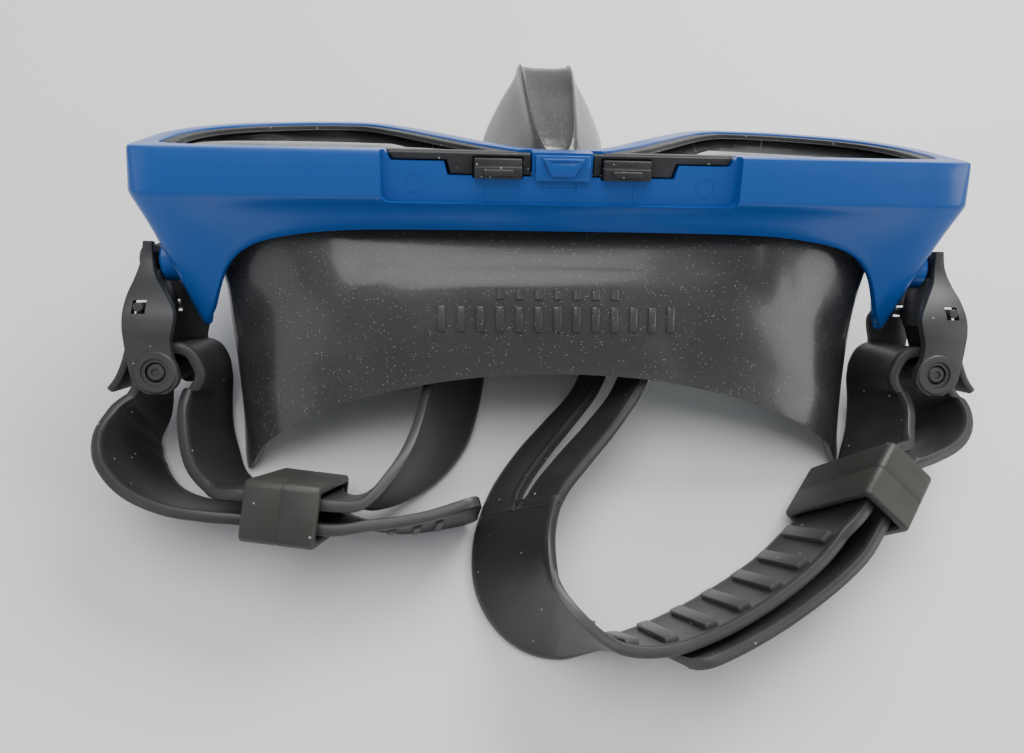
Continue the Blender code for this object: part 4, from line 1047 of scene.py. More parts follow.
# ---- skirt ------------------------------------------------------------------------
def skirt_levels(spans_round, spans_down):
    """Grid of points on the skirt's outer surface in mm, from the neck to the sealing edge."""
    rings = []
    for table in SKIRT_RINGS:
        points = [(x, y, floor_z(y) if z is None else z) for x, y, z in table]
        rings.append(catmull_rom(mirrored(points), spans_round, closed=True))
    columns = [catmull_rom(list(column), spans_down) for column in zip(*rings)]
    grid = [[Vector(column[i]) for column in columns] for i in range(len(columns[0]))]
    for ring in grid:
        for point in ring:
            point.z = max(point.z, floor_z(point.y))
    return grid


def grid_normals(grid):
    """Outward unit normals of a grid that closes round each ring."""
    count = len(grid[0])
    normals = []
    for i, ring in enumerate(grid):
        above, below = grid[max(i - 1, 0)], grid[min(i + 1, len(grid) - 1)]
        row = []
        for j in range(count):
            across = ring[(j + 1) % count] - ring[j - 1]
            down = below[j] - above[j]
            row.append(down.cross(across).normalized())
        normals.append(row)
    return normals


def skirt_relief(point, share):
    """How far the surface stands out, in mm: a sunk band under the frame and a bead at the edge."""
    band = smooth(46.0, 41.0, abs(point.x)) * smooth(-24.2, -23.0, point.z) * smooth(14.0, 9.0, point.y)
    bead = smooth(0.93, 0.97, share) * 0.35
    crease = -0.25 * math.exp(-((point.z + 25.5) / 0.6) ** 2) * smooth(60.0, 46.0, abs(point.x))
    return bead - 0.75 * band + (crease if point.y < 14.0 else 0.0)


def skirt_body(material):
    s = sizes()
    grid = skirt_levels(8, 6)
    normals = grid_normals(grid)
    levels = len(grid) - 1
    outer = []
    for i, (ring, row) in enumerate(zip(grid, normals)):
        outer.append([p + n * skirt_relief(p, i / levels) for p, n in zip(ring, row)])
    edge, edge_normals = outer[-1], normals[-1]
    lip = []
    for depth, drop in ((0.35, 0.0), (1.0, 0.12), (1.7, 0.0)):
        ring = []
        for p, n in zip(edge, edge_normals):
            q = p - n * depth
            q.z += math.tan(s.tilt) * depth * arch_share(p) - drop
            q.z = max(q.z, floor_z(q.y) + 0.02)
            ring.append(q)
        lip.append(ring)
    inner = [[p - n * s.skirt_wall for p, n in zip(grid[i], normals[i])] for i in range(levels - 1, 5, -1)]
    flange = catmull_rom(mirrored([(x, y) for x, y in FLANGE_RING]), 8, closed=True)
    front = [Vector((x, y, -4.9)) for x, y in flange]
    back = [Vector((x, y, -7.6)) for x, y in flange]
    cap = [Vector((x * 0.92, 27.5 + (y - 27.5) * 0.76, -6.9)) for x, y in flange]
    rings = [front, back] + outer + lip + inner + [cap]
    rings = [[p * MM for p in ring] for ring in rings]
    return loft("Skirt", rings, material, angle=45)


def arch_share(point):
    """1 on the arch over the forehead, 0 where the edge lies on the floor."""
    return smooth(0.05, 1.0, point.z - floor_z(point.y))


def nose_ring(y, base, ridge, top, low, inset):
    """Section of the nose pocket: sloped sides, two soft ridges and a flat, slightly sunk top."""
    height = top - max(low, -7.0)
    base, ridge = max(base - inset, 0.6), max(ridge - 0.7 * inset, 0.4)
    top -= inset
    if inset:
        low -= 9.0
    half = [
        (base, low), (base, low + 0.2 * (top - low)),
        (0.5 * (base + ridge) + 0.7, top - 0.45 * height), (ridge + 1.1, top - 0.16 * height),
        (ridge + 0.4, top - 0.05 * height), (ridge - 0.3, top - 0.005 * height),
        (ridge - 1.0, top - 0.03 * height), (ridge * 0.4, top - 0.045 * height),
    ]
    half = catmull_rom(half, 3)
    outline = half + [(-x, z) for x, z in reversed(half)]
    return [Vector((x, y, z)) * MM for x, z in outline]


def nose_shape(name, inset, material):
    stations = catmull_rom(NOSE_SECTIONS, 6)
    first, last = NOSE_SECTIONS[0][0], NOSE_SECTIONS[-1][0]
    middle = (first + last) / 2
    rings = []
    for y, base, ridge, top, low in stations:
        shift_in = inset * (1 if y < middle else -1) * (abs(y - middle) / (middle - first)) ** 2
        ripple = 0.0 if inset else 0.22 * math.sin((y - 8.6) * 2.6) * smooth(17.0, 9.5, y)
        rings.append(nose_ring(y + shift_in, base + ripple, ridge, top + ripple, low, inset))
    return loft(name, rings, material, angle=50)


class MASK_OT_skirt(Operator):
    """Builds the skirt with its sealing bead, sunk band, nose pocket and lens windows"""
    bl_idname = "mask.skirt"
    bl_label = "Build Skirt"

    def execute(self, context):
        silicone, nose = finish_named("Mask Skirt"), finish_named("Mask Nose")
        skirt = skirt_body(silicone)
        cut(skirt, nose_shape("Nose", 0.0, nose), "UNION")
        cut(skirt, nose_shape("Nose Hollow", sizes().nose_wall, nose))
        for side in (1, -1):
            window = flip(catmull_rom(SKIRT_WINDOW, 6, closed=True), side)
            cut(skirt, prism("Window", window, -7.3, 0.0, silicone))
        place(tidy(skirt, 45), mask_matrix(), "mask", "dark_silicone", "skirt")
        press_on_floor(skirt)
        return {"FINISHED"}


def surface_probe(obj):
    bm = bmesh.new()
    bm.from_mesh(obj.data)
    tree = BVHTree.FromBMesh(bm)
    bm.free()
    return tree


def on_skirt(tree, matrix, x, z):
    """Point and outward normal on the skirt's forehead wall, in the row frame."""
    start = matrix @ (Vector((x, -40, z)) * MM)
    direction = (matrix.to_3x3() @ Vector((0, 1, 0))).normalized()
    spot, normal, _, _ = tree.ray_cast(start, direction)
    return spot, (normal if normal.dot(direction) < 0 else -normal)


class MASK_OT_relief(Operator):
    """Adds two plain rows of raised bars on the skirt's forehead wall"""
    bl_idname = "mask.relief"
    bl_label = "Build Skirt Relief"

    def execute(self, context):
        matrix = mask_matrix()
        skirt = bpy.data.objects["Skirt"]
        tree = surface_probe(skirt)
        across = matrix.to_3x3() @ Vector((1, 0, 0))
        silicone = finish_named("Mask Skirt")
        rows = []
        for row, (z, count, pitch, tall) in enumerate(((-27.4, 7, 3.9, 0.42), (-32.2, 13, 3.9, 1.0))):
            places = []
            for i in range(count):
                spot, normal = on_skirt(tree, matrix, (i - (count - 1) / 2) * pitch, z)
                places.append((tuple(spot), tuple(across), tuple(normal), (1, tall, 1)))
            bar = soften(block("Relief Bar", (-0.8, -2.6, -0.5), (0.8, 2.6, 0.42), silicone), 0.25, 2)
            rows.append(copies(f"Relief Row {row}", places, bar, silicone))
        relief = join(rows, "Skirt Relief Bars")
        place(relief, Matrix.Identity(4), "mask", "dark_silicone")
        return {"FINISHED"}


def inner_lip(material):
    """Thin second seal that curls inwards from the skirt's lower edge round the cheeks."""
    grid = skirt_levels(6, 6)
    normals = grid_normals(grid)
    count = len(grid[0])
    start, end = int(count * 5.6 / 24), int(count * 18.4 / 24)
    sections = []
    for j in range(start, end + 1):
        fade = smooth(start, start + 8, j) * smooth(end, end - 8, j)
        root, rim = grid[-3][j], grid[-1][j]
        inward = -normals[-3][j]
        reach = 1.2 + 6.5 * fade
        base = root + inward * 1.6
        tip = base + inward * reach + Vector((0, 0, 1.0)) * 1.6
        mid = base.lerp(tip, 0.5) + (rim - root).normalized() * 0.8
        line = catmull_rom([tuple(base), tuple(mid), tuple(tip)], 4)
        upper = [Vector(p) for p in line]
        lower = [p + Vector((0, 0, 0.75)) for p in upper]
        section = upper + lower[::-1]
        sunk = max(floor_z(p.y) + 0.3 - p.z for p in section)
        lift = Vector((0, 0, max(sunk, 0.0)))
        sections.append([(p + lift) * MM for p in section])
    return loft("Skirt Inner Seal", sections, material, angle=60)


class MASK_OT_inner_parts(Operator):
    """Builds the inner seal and the clamping bar behind the forehead edge"""
    bl_idname = "mask.inner_parts"
    bl_label = "Build Inner Parts"

    def execute(self, context):
        matrix = mask_matrix()
        place(inner_lip(finish_named("Mask Skirt")), matrix, "mask", "dark_silicone")
        neck = catmull_rom(mirrored([(x, y) for x, y, _ in SKIRT_RINGS[0]]), 6, closed=True)
        near, far = offset(neck, 0.3), offset(neck, 2.9)
        order = list(range(len(neck) - 24, len(neck))) + list(range(25))
        high, low = -8.35, -10.75
        sections = []
        for i in order:
            corners = (near[i] + (low,), far[i] + (low,), far[i] + (high,), near[i] + (high,))
            sections.append([Vector(p) * MM for p in corners])
        bar = soften(loft("Clamping Bar", sections, finish_named("Mask Black")), 0.3, 2)
        place(bar, matrix, "mask", "carrier_black", "inner_retainer")
        return {"FINISHED"}


# ---- buckles ----------------------------------------------------------------------
class BuckleSpace:
    """Axes of one buckle in the row frame: out is outboard, back runs to the roller, up along it."""

    def __init__(self, side):
        self.side = side
        self.back, self.up = buckle_axes()
        self.roller = buckle_roller(side) + shift()
        self.half = sizes().strap_width / 2 + sizes().gap

    def at(self, out, back, up):
        """Row-frame point from mm measured at the roller's middle."""
        return self.roller + (Vector((self.side, 0, 0)) * out + self.back * back + self.up * up) * MM


def cheek(space, sign, material):
    """Side plate with softened edges that closes in towards the pivot."""
    rings = []
    for back, low, high, close in catmull_rom(CHEEK_STATIONS, 5):
        inner = (space.half - close) * sign
        outer = inner + sizes().cheek * sign
        corners = ((low, inner), (high, inner), (high, outer), (low, outer))
        rings.append([space.at(out, back, up) for out, up in corners])
    plate = loft("Cheek", rings, material)
    return soften(plate, 0.42, 3, 50)


def buckle_body(side, word):
    space = BuckleSpace(side)
    grey = finish_named("Mask Buckle")
    s = sizes()
    yoke = s.yoke + 0.8 * s.cheek
    corners = ((2.45, -yoke), (4.4, -yoke), (4.4, yoke), (2.45, yoke))
    rings = [[space.at(o, back, u) for o, u in corners] for back in (-25.2, -19.2)]
    body = soften(loft("Buckle Body " + word, rings, grey), 0.4, 2)
    for sign in (1, -1):
        cut(body, cheek(space, sign, grey), "UNION")
        boss = rod("Boss", space.at(0, 0, sign * (space.half + 0.1)),
                   space.at(0, 0, sign * (space.half + 2.1)), 4.15 * MM, grey, 64, 0.3 * MM)
        cut(body, boss, "UNION")
        sink = rod("Boss Sink", space.at(0, 0, sign * (space.half + 1.75)),
                   space.at(0, 0, sign * (space.half + 4)), 2.75 * MM, grey, 64)
        cut(body, sink)
    cut(body, rod("Bore", space.at(0, 0, -20), space.at(0, 0, 20), (s.pin_radius + s.gap) * MM, grey))
    out, back = LEVER_HINGE
    corners = [(out + a * 1.3, back + b * 1.3) for a, b in ((-1, -1), (1, -1), (1, 1), (-1, 1))]
    notch = [[space.at(o, b, u) for o, b in corners] for u in (-20, 20)]
    cut(body, loft("Notch", notch, grey))
    pivot = buckle_pivot(side) + shift()
    axis = Vector((side, 0, 0)) * MM
    bore = (s.lug_pin_radius + s.gap) * MM
    cut(body, rod("Pivot Bore", pivot - axis * 6, pivot + axis * 9, bore, grey))
    return tidy(body, 35)


def strip(space, path, thickness, reach, spans):
    """Rings of a plate that follows a path across the buckle."""
    path = catmull_rom(path, spans)
    rings = []
    for i, (out, back) in enumerate(path):
        run = (Vector(path[min(i + 1, len(path) - 1)]) - Vector(path[max(i - 1, 0)])).normalized()
        normal = Vector((-run.y, run.x)) * (thickness / 2)
        rings.append([space.at(out + sign * normal.x, back + sign * normal.y, up)
                      for sign, up in ((-1, -reach), (1, -reach), (1, reach), (-1, reach))])
    return rings


def release_lever(side, word):
    """Thumb lever with a pawl and a trunnion; the grip ribs near its tip are built on their own."""
    space = BuckleSpace(side)
    grey = finish_named("Mask Buckle")
    rings = strip(space, LEVER_PATH, 1.5, space.half - 1.2, 5)
    lever = soften(loft("Release Lever " + word, rings, grey), 0.4, 2)
    out, back = LEVER_HINGE
    reach = space.half + 0.8 * sizes().cheek
    ends = space.at(out, back, -reach), space.at(out, back, reach)
    trunnion = rod("Trunnion", *ends, 0.9 * MM, grey, 24, 0.15 * MM)
    cut(lever, trunnion, "UNION")
    pawl = [(6.3, -4.4), (4.5, -3.9), (6.2, -2.4)]
    rings = [[space.at(o, b, u) for o, b in pawl] for u in (-7.5, 7.5)]
    cut(lever, loft("Pawl", rings, grey), "UNION")
    return tidy(lever, 35)


def lever_grips(side, word):
    space = BuckleSpace(side)
    grey = finish_named("Mask Buckle")
    tip, root = Vector(LEVER_PATH[-1]), Vector(LEVER_PATH[-3])
    run = (tip - root).normalized()
    normal = Vector((run.y, -run.x))
    outward = (space.at(normal.x, normal.y, 0) - space.at(0, 0, 0)).normalized()
    if outward.dot(Vector((side, 0, 0))) < 0:
        outward, normal = -outward, -normal
    places = []
    for i in range(4):
        spot = tip - run * (1.0 + 1.15 * i) + normal * 0.72
        places.append((tuple(space.at(spot.x, spot.y, 0)), tuple(space.up), tuple(outward), (1, 1, 1)))
    bar = soften(block("Grip Bar", (-6.4, -0.25, -0.2), (6.4, 0.25, 0.22), grey), 0.1, 1)
    return copies("Lever Grips " + word, places, bar, grey)


def strap_roller(side, word):
    space = BuckleSpace(side)
    grey = finish_named("Mask Buckle")
    s = sizes()
    reach = s.strap_width / 2
    ends = space.at(0, 0, -reach), space.at(0, 0, reach)
    roller = rod("Strap Roller " + word, *ends, s.roller_radius * MM, grey, 48, 0.3 * MM)
    bore = (s.pin_radius + s.gap) * MM
    cut(roller, rod("Roller Bore", space.at(0, 0, -20), space.at(0, 0, 20), bore, grey))
    flutes = []
    for u, v in circle(12):
        spot = space.at(u * 2.55, v * 2.55, 0)
        outward = (spot - space.at(0, 0, 0)).normalized()
        flutes.append((tuple(spot), tuple(space.up), tuple(outward), (1, 1, 1)))
    bar = block("Flute", (-8.6, -0.2, -0.3), (8.6, 0.2, 0.15), grey)
    return roller, copies("Roller Flutes " + word, flutes, bar, grey)


def roller_pin(side, word):
    space = BuckleSpace(side)
    s = sizes()
    reach = space.half + s.cheek
    grey = finish_named("Mask Buckle")
    ends = space.at(0, 0, -reach), space.at(0, 0, reach)
    pin = rod("Roller Pin " + word, *ends, s.pin_radius * MM, grey, 48, 0.35 * MM)
    for sign in (1, -1):
        floor, mouth = space.at(0, 0, sign * (reach - 0.3)), space.at(0, 0, sign * (reach + 1))
        cut(pin, rod("Dimple", floor, mouth, 0.8 * MM, grey))
    return pin


def pivot_pin(side, word):
    """Headed pin through the yoke into the frame's lug."""
    grey = finish_named("Mask Buckle")
    pivot = buckle_pivot(side) + shift()
    axis = Vector((side, 0, 0)) * MM
    radius = sizes().lug_pin_radius * MM
    pin = rod("Pivot Pin " + word, pivot - axis * 1.6, pivot + axis * 4.85, radius, grey)
    head = rod("Pin Head", pivot + axis * 4.8, pivot + axis * 5.7, 2.8 * MM, grey, 48, 0.3 * MM)
    cut(pin, head, "UNION")
    return tidy(pin, 35)


class MASK_OT_buckle(Operator):
    """Builds one swivel buckle with its roller, pins, release lever and leaf spring"""
    bl_idname = "mask.buckle"
    bl_label = "Build Buckle"
    side: EnumProperty(name="Side", description="Which buckle to build",
                       items=[("LEFT", "Left", "Left buckle"), ("RIGHT", "Right", "Right buckle")])

    def execute(self, context):
        still = Matrix.Identity(4)
        side, word = (1, "Right") if self.side == "RIGHT" else (-1, "Left")
        low = word.lower()
        slot = "buckle_grey"
        place(buckle_body(side, word), still, f"buckle_{low}", slot, f"buckle_body_{low}")
        roller, flutes = strap_roller(side, word)
        place(roller, still, f"roller_{low}", slot, f"strap_roller_{low}")
        place(flutes, still, f"roller_{low}", slot)
        place(roller_pin(side, word), still, f"buckle_{low}", slot, f"roller_pin_{low}")
        place(release_lever(side, word), still, f"lever_{low}", slot, f"release_lever_{low}")
        place(lever_grips(side, word), still, f"lever_{low}", slot)
        space = BuckleSpace(side)
        leaf = strip(space, SPRING_PATH, 0.6, 3.5, 5)
        spring = loft("Lever Spring " + word, leaf, finish_named("Mask Buckle"))
        place(soften(spring, 0.12, 1), still, f"buckle_{low}", slot, f"lever_spring_{low}")
        place(pivot_pin(side, word), still, "mask", slot, f"buckle_pivot_pin_{low}")
        return {"FINISHED"}


# ---- strap and keepers ------------------------------------------------------------
def keeper_space(word):
    """Centre, run, width and across directions of one keeper, in builder axes."""
    centre, run, lean = KEEPERS[word]
    run = Vector((*run, 0)).normalized()
    width = Vector((*lean, 1.0 - 0.5 * Vector(lean).length_squared))
    width = (width - run * width.dot(run)).normalized()
    across = width.cross(run).normalized()
    return Vector(centre) * MM, run, width, -across if across.z > 0 else across


def along_route(points, scale=1.0):
    result = []
    for x, y, z, lean_x, lean_y in points:
        up = math.sqrt(max(1.0 - lean_x ** 2 - lean_y ** 2, 0.05))
        result.append((x * MM, y * MM, z * MM, lean_x, lean_y, up, scale))
    return result


def along_bend(side, reverse):
    back, up = buckle_axes()
    middle = buckle_roller(side)
    s = sizes()
    radius = (s.roller_radius + s.gap + s.strap_thickness / 2) * MM
    outboard = Vector((side, 0, 0))
    points = [(*(middle + (outboard * out + back * depth) * radius), *up, 1.0)
              for out, depth in ROLLER_BEND]
    return points[::-1] if reverse else points


def along_keeper(word, layer, half):
    """Straight stretch through a keeper; half is -1 or 1 for one end only."""
    s = sizes()
    centre, run, width, across = keeper_space(word)
    spot = centre + across * layer * (s.layer_gap + s.strap_thickness) / 2 * MM
    reach = (s.keeper_length / 2 + 0.8) * MM
    stops = (0.0, reach / 3, reach) if half > 0 else (-reach, -reach / 3, 0.0)
    return [(*(spot + run * stop), *width, 1.0) for stop in stops]


def strap_stations(route, spans):
    """Centre, run, width and face directions and the width share along one strap piece."""
    points = catmull_rom(route, spans)
    stations = []
    s = sizes()
    for i, point in enumerate(points):
        centre = Vector(point[:3])
        after, before = points[min(i + 1, len(points) - 1)], points[max(i - 1, 0)]
        run = (Vector(after[:3]) - Vector(before[:3])).normalized()
        width = Vector(point[3:6])
        width = (width - run * width.dot(run)).normalized()
        face = run.cross(width)
        sag = abs(width.z) * s.strap_width * point[6] / 2 + abs(face.z) * s.strap_thickness / 2
        lowest = centre.z - sag * MM
        if lowest < 0.3 * MM:
            centre.z += 0.3 * MM - lowest
        stations.append([centre, run, width, face, point[6]])
    return stations


def strap_ring(station, low=-0.5, high=0.5, bead=0.16):
    """Rounded flat section with a slightly raised bead along both edges; low and high are shares."""
    s = sizes()
    centre, _, width, face, share = station
    a, b = low * s.strap_width * share, high * s.strap_width * share
    t = s.strap_thickness / 2
    r = min(0.55, t * 0.7)
    half = [(a + r, -t), (a + 1.5, -t), (a + 2.0, -t + bead), (b - 2.0, -t + bead), (b - 1.5, -t),
            (b - r, -t), (b - r * 0.3, -t + r * 0.3), (b, -t + r), (b, t - r), (b - r * 0.3, t - r * 0.3)]
    line = half + [(a + b - u, -v) for u, v in half]
    return [centre + width * u * MM + face * v * MM for u, v in line]


def rounded_end(stations, at_start, radius=3.4):
    """Share of the width kept near a free end, for a rounded tip."""
    order = stations if at_start else stations[::-1]
    travelled = 0.0
    shares = []
    for i, station in enumerate(order):
        if i:
            travelled += (station[0] - order[i - 1][0]).length / MM
        lack = max(radius - travelled, 0.0)
        inset = radius - math.sqrt(max(radius ** 2 - lack ** 2, 0.0))
        shares.append(1.0 - 2 * inset / sizes().strap_width)
    return shares if at_start else shares[::-1]


def strap_piece(name, stations, start_tip=False, end_tip=False):
    if start_tip or end_tip:
        shares = rounded_end(stations, start_tip)
        for station, share in zip(stations, shares):
            station[4] *= share
    return strap_loft(name, [strap_ring(station) for station in stations])


def strap_loft(name, rings):
    piece = loft(name, rings, finish_named("Mask Strap"), angle=28)
    piece.data.transform(Matrix.Translation(shift()))
    return piece


def strap_routes():
    return {
        "Left Tail": along_route(LEFT_TAIL) + along_keeper("left", 1, 1)[::-1],
        "Left Loop": (along_keeper("left", 1, -1)[::-1] + along_route(LEFT_OUTER) + along_bend(-1, False)
                      + along_route(LEFT_INNER) + along_keeper("left", -1, -1)),
        "Head": (along_keeper("left", -1, 1) + along_route(LEFT_HEAD) + along_route(INNER_LOOP, 1.044)
                 + along_route(LOBE, 1.16) + along_route(RIGHT_RUN) + along_keeper("right", -1, 1)[::-1]),
        "Right Loop": (along_keeper("right", -1, -1)[::-1] + along_route(RIGHT_INNER) + along_bend(1, True)
                       + along_route(RIGHT_OUTER) + along_keeper("right", 1, -1)),
        "Right Tail": along_keeper("right", 1, 1) + along_route(RIGHT_TAIL),
    }


def head_pieces(route):
    """Head strap with a slit that parts its middle into two bands."""
    stations = strap_stations(route, 8)
    places = [station[0] for station in stations]
    first = nearest_index(places, Vector(SLIT_START) * MM)
    last = nearest_index(places, Vector(SLIT_END) * MM)
    pieces = [strap_piece("Head Strap Left", stations[:first + 3]),
              strap_piece("Head Strap Run", stations[last - 2:])]
    for word, low, high, lean in (("Lower", -0.5, -0.06, 0.0), ("Upper", 0.06, 0.5, 1.0)):
        band = []
        for k, station in enumerate(stations[first:last + 1]):
            share = math.sin(math.pi * k / (last - first))
            centre, run, width, face, scale = station
            moved = centre + face * slit_side(face, centre) * lean * 3.2 * share * MM
            pinch = 0.06 * (1 - smooth(0.0, 0.12, share))
            near = low - pinch if low > 0 else low
            far = high + pinch if high < 0 else high
            band.append(strap_ring((moved, run, width, face, scale), near, far, bead=0.1))
        pieces.append(strap_loft(f"Head Strap {word} Band", band))
    return pieces


def slit_side(face, centre):
    """Which way along the face leads away from the loop's middle."""
    outward = centre - Vector((-3.0, -30.0, 9.0)) * MM
    return 1.0 if face.dot(outward) > 0 else -1.0


def nearest_index(places, target):
    return min(range(len(places)), key=lambda i: (places[i] - target).length)


def ribs_on(name, route, start, end, toward, pitch, size):
    """Raised ribs across one face of the strap between two places, on the side of a point."""
    s = sizes()
    stations = strap_stations(route, 12)
    places = [station[0] for station in stations]
    first, last = sorted(nearest_index(places, Vector(end_point) * MM) for end_point in (start, end))
    marks, travelled, due = [], 0.0, 0.0
    for i in range(first, last + 1):
        if i > first:
            travelled += (places[i] - places[i - 1]).length / MM
        if travelled < due:
            continue
        due += pitch
        centre, _, width, face, _ = stations[i]
        side = 1.0 if face.dot(Vector(toward) * MM - centre) > 0 else -1.0
        spot = centre + face * side * (s.strap_thickness / 2 - 0.2) * MM + shift()
        marks.append((tuple(spot), tuple(width), tuple(face * side), (1, 1, 1)))
    long, wide, high = size
    rubber = finish_named("Mask Strap")
    rib = block("Rib", (-long / 2, -wide / 2, -0.2), (long / 2, wide / 2, high + 0.2), rubber)
    return copies(name, marks, soften(rib, 0.3, 2), rubber)


class MASK_OT_strap(Operator):
    """Builds the folded head strap, its tails and the loops over the rollers"""
    bl_idname = "mask.strap"
    bl_label = "Build Strap"

    def execute(self, context):
        still = Matrix.Identity(4)
        routes = strap_routes()
        left = strap_piece("Strap Left Tail", strap_stations(routes["Left Tail"], 8), start_tip=True)
        right = strap_piece("Strap Right Tail", strap_stations(routes["Right Tail"], 8), end_tip=True)
        head = join(head_pieces(routes["Head"]), "Head Strap")
        place(head, still, "mask", "dark_silicone", "head_strap")
        for piece in (left, right):
            place(piece, still, "mask", "dark_silicone")
        for word in ("Left", "Right"):
            loop = strap_piece(f"Strap {word} Loop", strap_stations(routes[f"{word} Loop"], 8))
            start, end = (Vector((0, y, 12)) * MM + shift() for y in (-45, -27.5))
            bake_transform(loop)
        return {"FINISHED"}


class MASK_OT_ribs(Operator):
    """Adds the adjustment ribs of the strap"""
    bl_idname = "mask.ribs"
    bl_label = "Build Strap Ribs"

    def execute(self, context):
        s = sizes()
        still = Matrix.Identity(4)
        routes = strap_routes()
        ribs = [
            ribs_on("Ribs Run", routes["Head"], (2, -79, 9), (49.6, -60.2, 12.4), (20, -40, 9),
                    s.rib_pitch, (14.6, 2.6, s.rib_height)),
            ribs_on("Ribs Right Tail", routes["Right Tail"], (47, -68, 10), (24, -80, 9), (60, -110, 9),
                    11.5, (12.0, 1.8, 0.7)),
            ribs_on("Ribs Left Tail", routes["Left Tail"], (-36, -56.6, 11), (-24, -55, 9.6),
                    (-30, -110, 9), 4.2, (11.0, 1.4, 0.5)),
        ]
        place(join(ribs, "Strap Ribs"), still, "mask", "dark_silicone")
        return {"FINISHED"}


def keeper_sleeve(word):
    """Sleeve with rounded corners, softened mouths and a fine mould line round its middle."""
    s = sizes()
    centre, run, width, across = keeper_space(word)
    inner_w = s.strap_width / 2 + 3 * s.gap
    inner_t = s.strap_thickness + 1.1 + 2.5 * s.gap
    half = s.keeper_length / 2
    upper = [(0.1, 0.10), (0.22, 0.0), (half - 0.55, 0.0), (half - 0.18, 0.18), (half, 0.55),
             (half, s.keeper_wall - 0.4), (half - 0.4, s.keeper_wall)]
    profile = [(-along, inset) for along, inset in upper[::-1]] + upper
    rings = []
    for along, inset in profile:
        w, t = inner_w + s.keeper_wall - inset, inner_t + s.keeper_wall - inset
        radius = max(1.3 - inset * 0.6, 0.35)
        rings.append([centre + shift() + run * along * MM + width * a * MM + across * b * MM
                      for a, b in rounded((-w, -t), (w, t), radius, 5)])
    return loft("Strap Keeper " + word.title(), rings, finish_named("Mask Keeper"), closed=True, angle=40)


class MASK_OT_keepers(Operator):
    """Builds the two strap keepers"""
    bl_idname = "mask.keepers"
    bl_label = "Build Keepers"

    def execute(self, context):
        for word in ("left", "right"):
            sleeve = keeper_sleeve(word)
            place(sleeve, Matrix.Identity(4), f"keeper_{word}", "buckle_grey", f"strap_keeper_{word}")
        return {"FINISHED"}


# ---- stage, panel and run ---------------------------------------------------------
def panel_light(name, spot, aim, size, power, tint=(1, 1, 1)):
    data = bpy.data.lights.new(name, "AREA")
    data.shape = "RECTANGLE"
    data.size, data.size_y = size
    data.energy = power
    data.color = tint
    obj = add_object(name, data)
    obj.location = spot
    obj.rotation_euler = (Vector(aim) - Vector(spot)).to_track_quat("-Z", "Y").to_euler()
    return obj


class MASK_OT_stage(Operator):
    """Builds the plain floor, the soft lights and the pale surroundings"""
    bl_idname = "mask.stage"
    bl_label = "Build Stage"

    def execute(self, context):
        floor = block("Floor", (-3000, -3000, -5.0), (3000, 3000, -0.02), finish_named("Mask Floor"))
        world = bpy.data.worlds.new("Pale Room")
        context.scene.world = world
        world.use_nodes = True
        background = world.node_tree.nodes["Background"]
        background.inputs["Color"].default_value = (0.92, 0.95, 1.0, 1.0)
        background.inputs["Strength"].default_value = 0.40
        panel_light("Window", (0.45, 0.75, 0.75), (0, 0, 0.02), (0.7, 0.5), 13.0, (1.0, 0.98, 0.95))
        panel_light("Ceiling", (-0.15, 0.05, 1.1), (0, 0, 0), (0.9, 0.9), 8.0)
        panel_light("Side", (0.8, -0.3, 0.45), (0, 0, 0.02), (0.5, 0.4), 2.2, (1.0, 0.98, 0.95))
        panel_light("Fill", (-0.8, -0.45, 0.5), (0, 0, 0.02), (0.5, 0.5), 0.7, (0.93, 0.96, 1.0))
        return {"FINISHED"}


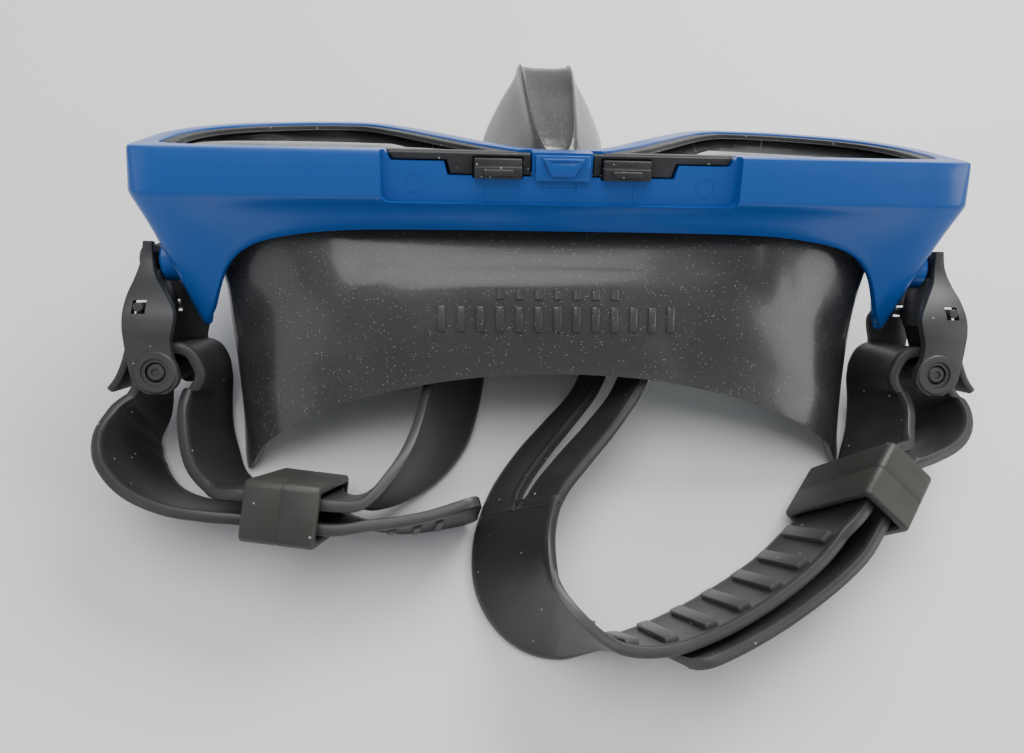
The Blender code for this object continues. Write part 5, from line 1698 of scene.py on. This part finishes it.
class MASK_OT_camera(Operator):
    """Places the camera above the forehead edge, looking down at the mask"""
    bl_idname = "mask.camera"
    bl_label = "Place Camera"

    def execute(self, context):
        data = bpy.data.cameras.new("View")
        data.lens, data.sensor_width = CAMERA_LENS, CAMERA_SENSOR
        camera = add_object("View", data)
        pitch, roll, yaw = (math.radians(angle) for angle in CAMERA_TURN)
        right = Vector((1, 0, 0))
        down = Vector((0, -math.sin(pitch), -math.cos(pitch)))
        forward = Vector((0, math.cos(pitch), -math.sin(pitch)))
        turned = right * math.cos(roll) + down * math.sin(roll)
        below = down * math.cos(roll) - right * math.sin(roll)
        turn = Matrix.Rotation(yaw, 3, "Z")
        columns = [turn @ turned, -(turn @ below), -(turn @ forward)]
        matrix = Matrix(columns).transposed().to_4x4()
        matrix.translation = Vector(CAMERA_PLACE) * MM + shift()
        camera.matrix_world = matrix
        context.scene.camera = camera
        return {"FINISHED"}


class MASK_PT_panel(Panel):
    """Lists the sizes, colours and build steps"""
    bl_label = "Diving Mask"
    bl_idname = "MASK_PT_panel"
    bl_space_type = "VIEW_3D"
    bl_region_type = "UI"
    bl_category = "Mask"

    def draw(self, context):
        for group in (context.scene.mask_sizes, context.scene.mask_colours):
            for name in group.__annotations__:
                self.layout.prop(group, name)
        for step in STEPS:
            self.layout.operator(step.bl_idname)


STEPS = (MASK_OT_finishes, MASK_OT_frame, MASK_OT_lenses, MASK_OT_clip, MASK_OT_skirt, MASK_OT_relief,
         MASK_OT_inner_parts, MASK_OT_buckle, MASK_OT_strap, MASK_OT_ribs, MASK_OT_keepers, MASK_OT_stage,
         MASK_OT_camera)
CLASSES = (MaskSizes, MaskColours) + STEPS + (MASK_PT_panel,)


def register():
    for item in CLASSES:
        bpy.utils.register_class(item)
    bpy.types.Scene.mask_sizes = PointerProperty(type=MaskSizes)
    bpy.types.Scene.mask_colours = PointerProperty(type=MaskColours)


def unregister():
    del bpy.types.Scene.mask_colours
    del bpy.types.Scene.mask_sizes
    for item in reversed(CLASSES):
        bpy.utils.unregister_class(item)


def main():
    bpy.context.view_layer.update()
    register()
    for step in ("finishes", "frame", "lenses", "clip", "skirt", "relief", "inner_parts"):
        getattr(bpy.ops.mask, step)()
    for side in ("LEFT", "RIGHT"):
        bpy.ops.mask.buckle(side=side)
    for step in ("strap", "ribs", "keepers", "stage", "camera"):
        getattr(bpy.ops.mask, step)()


if __name__ == "__main__":
    main()
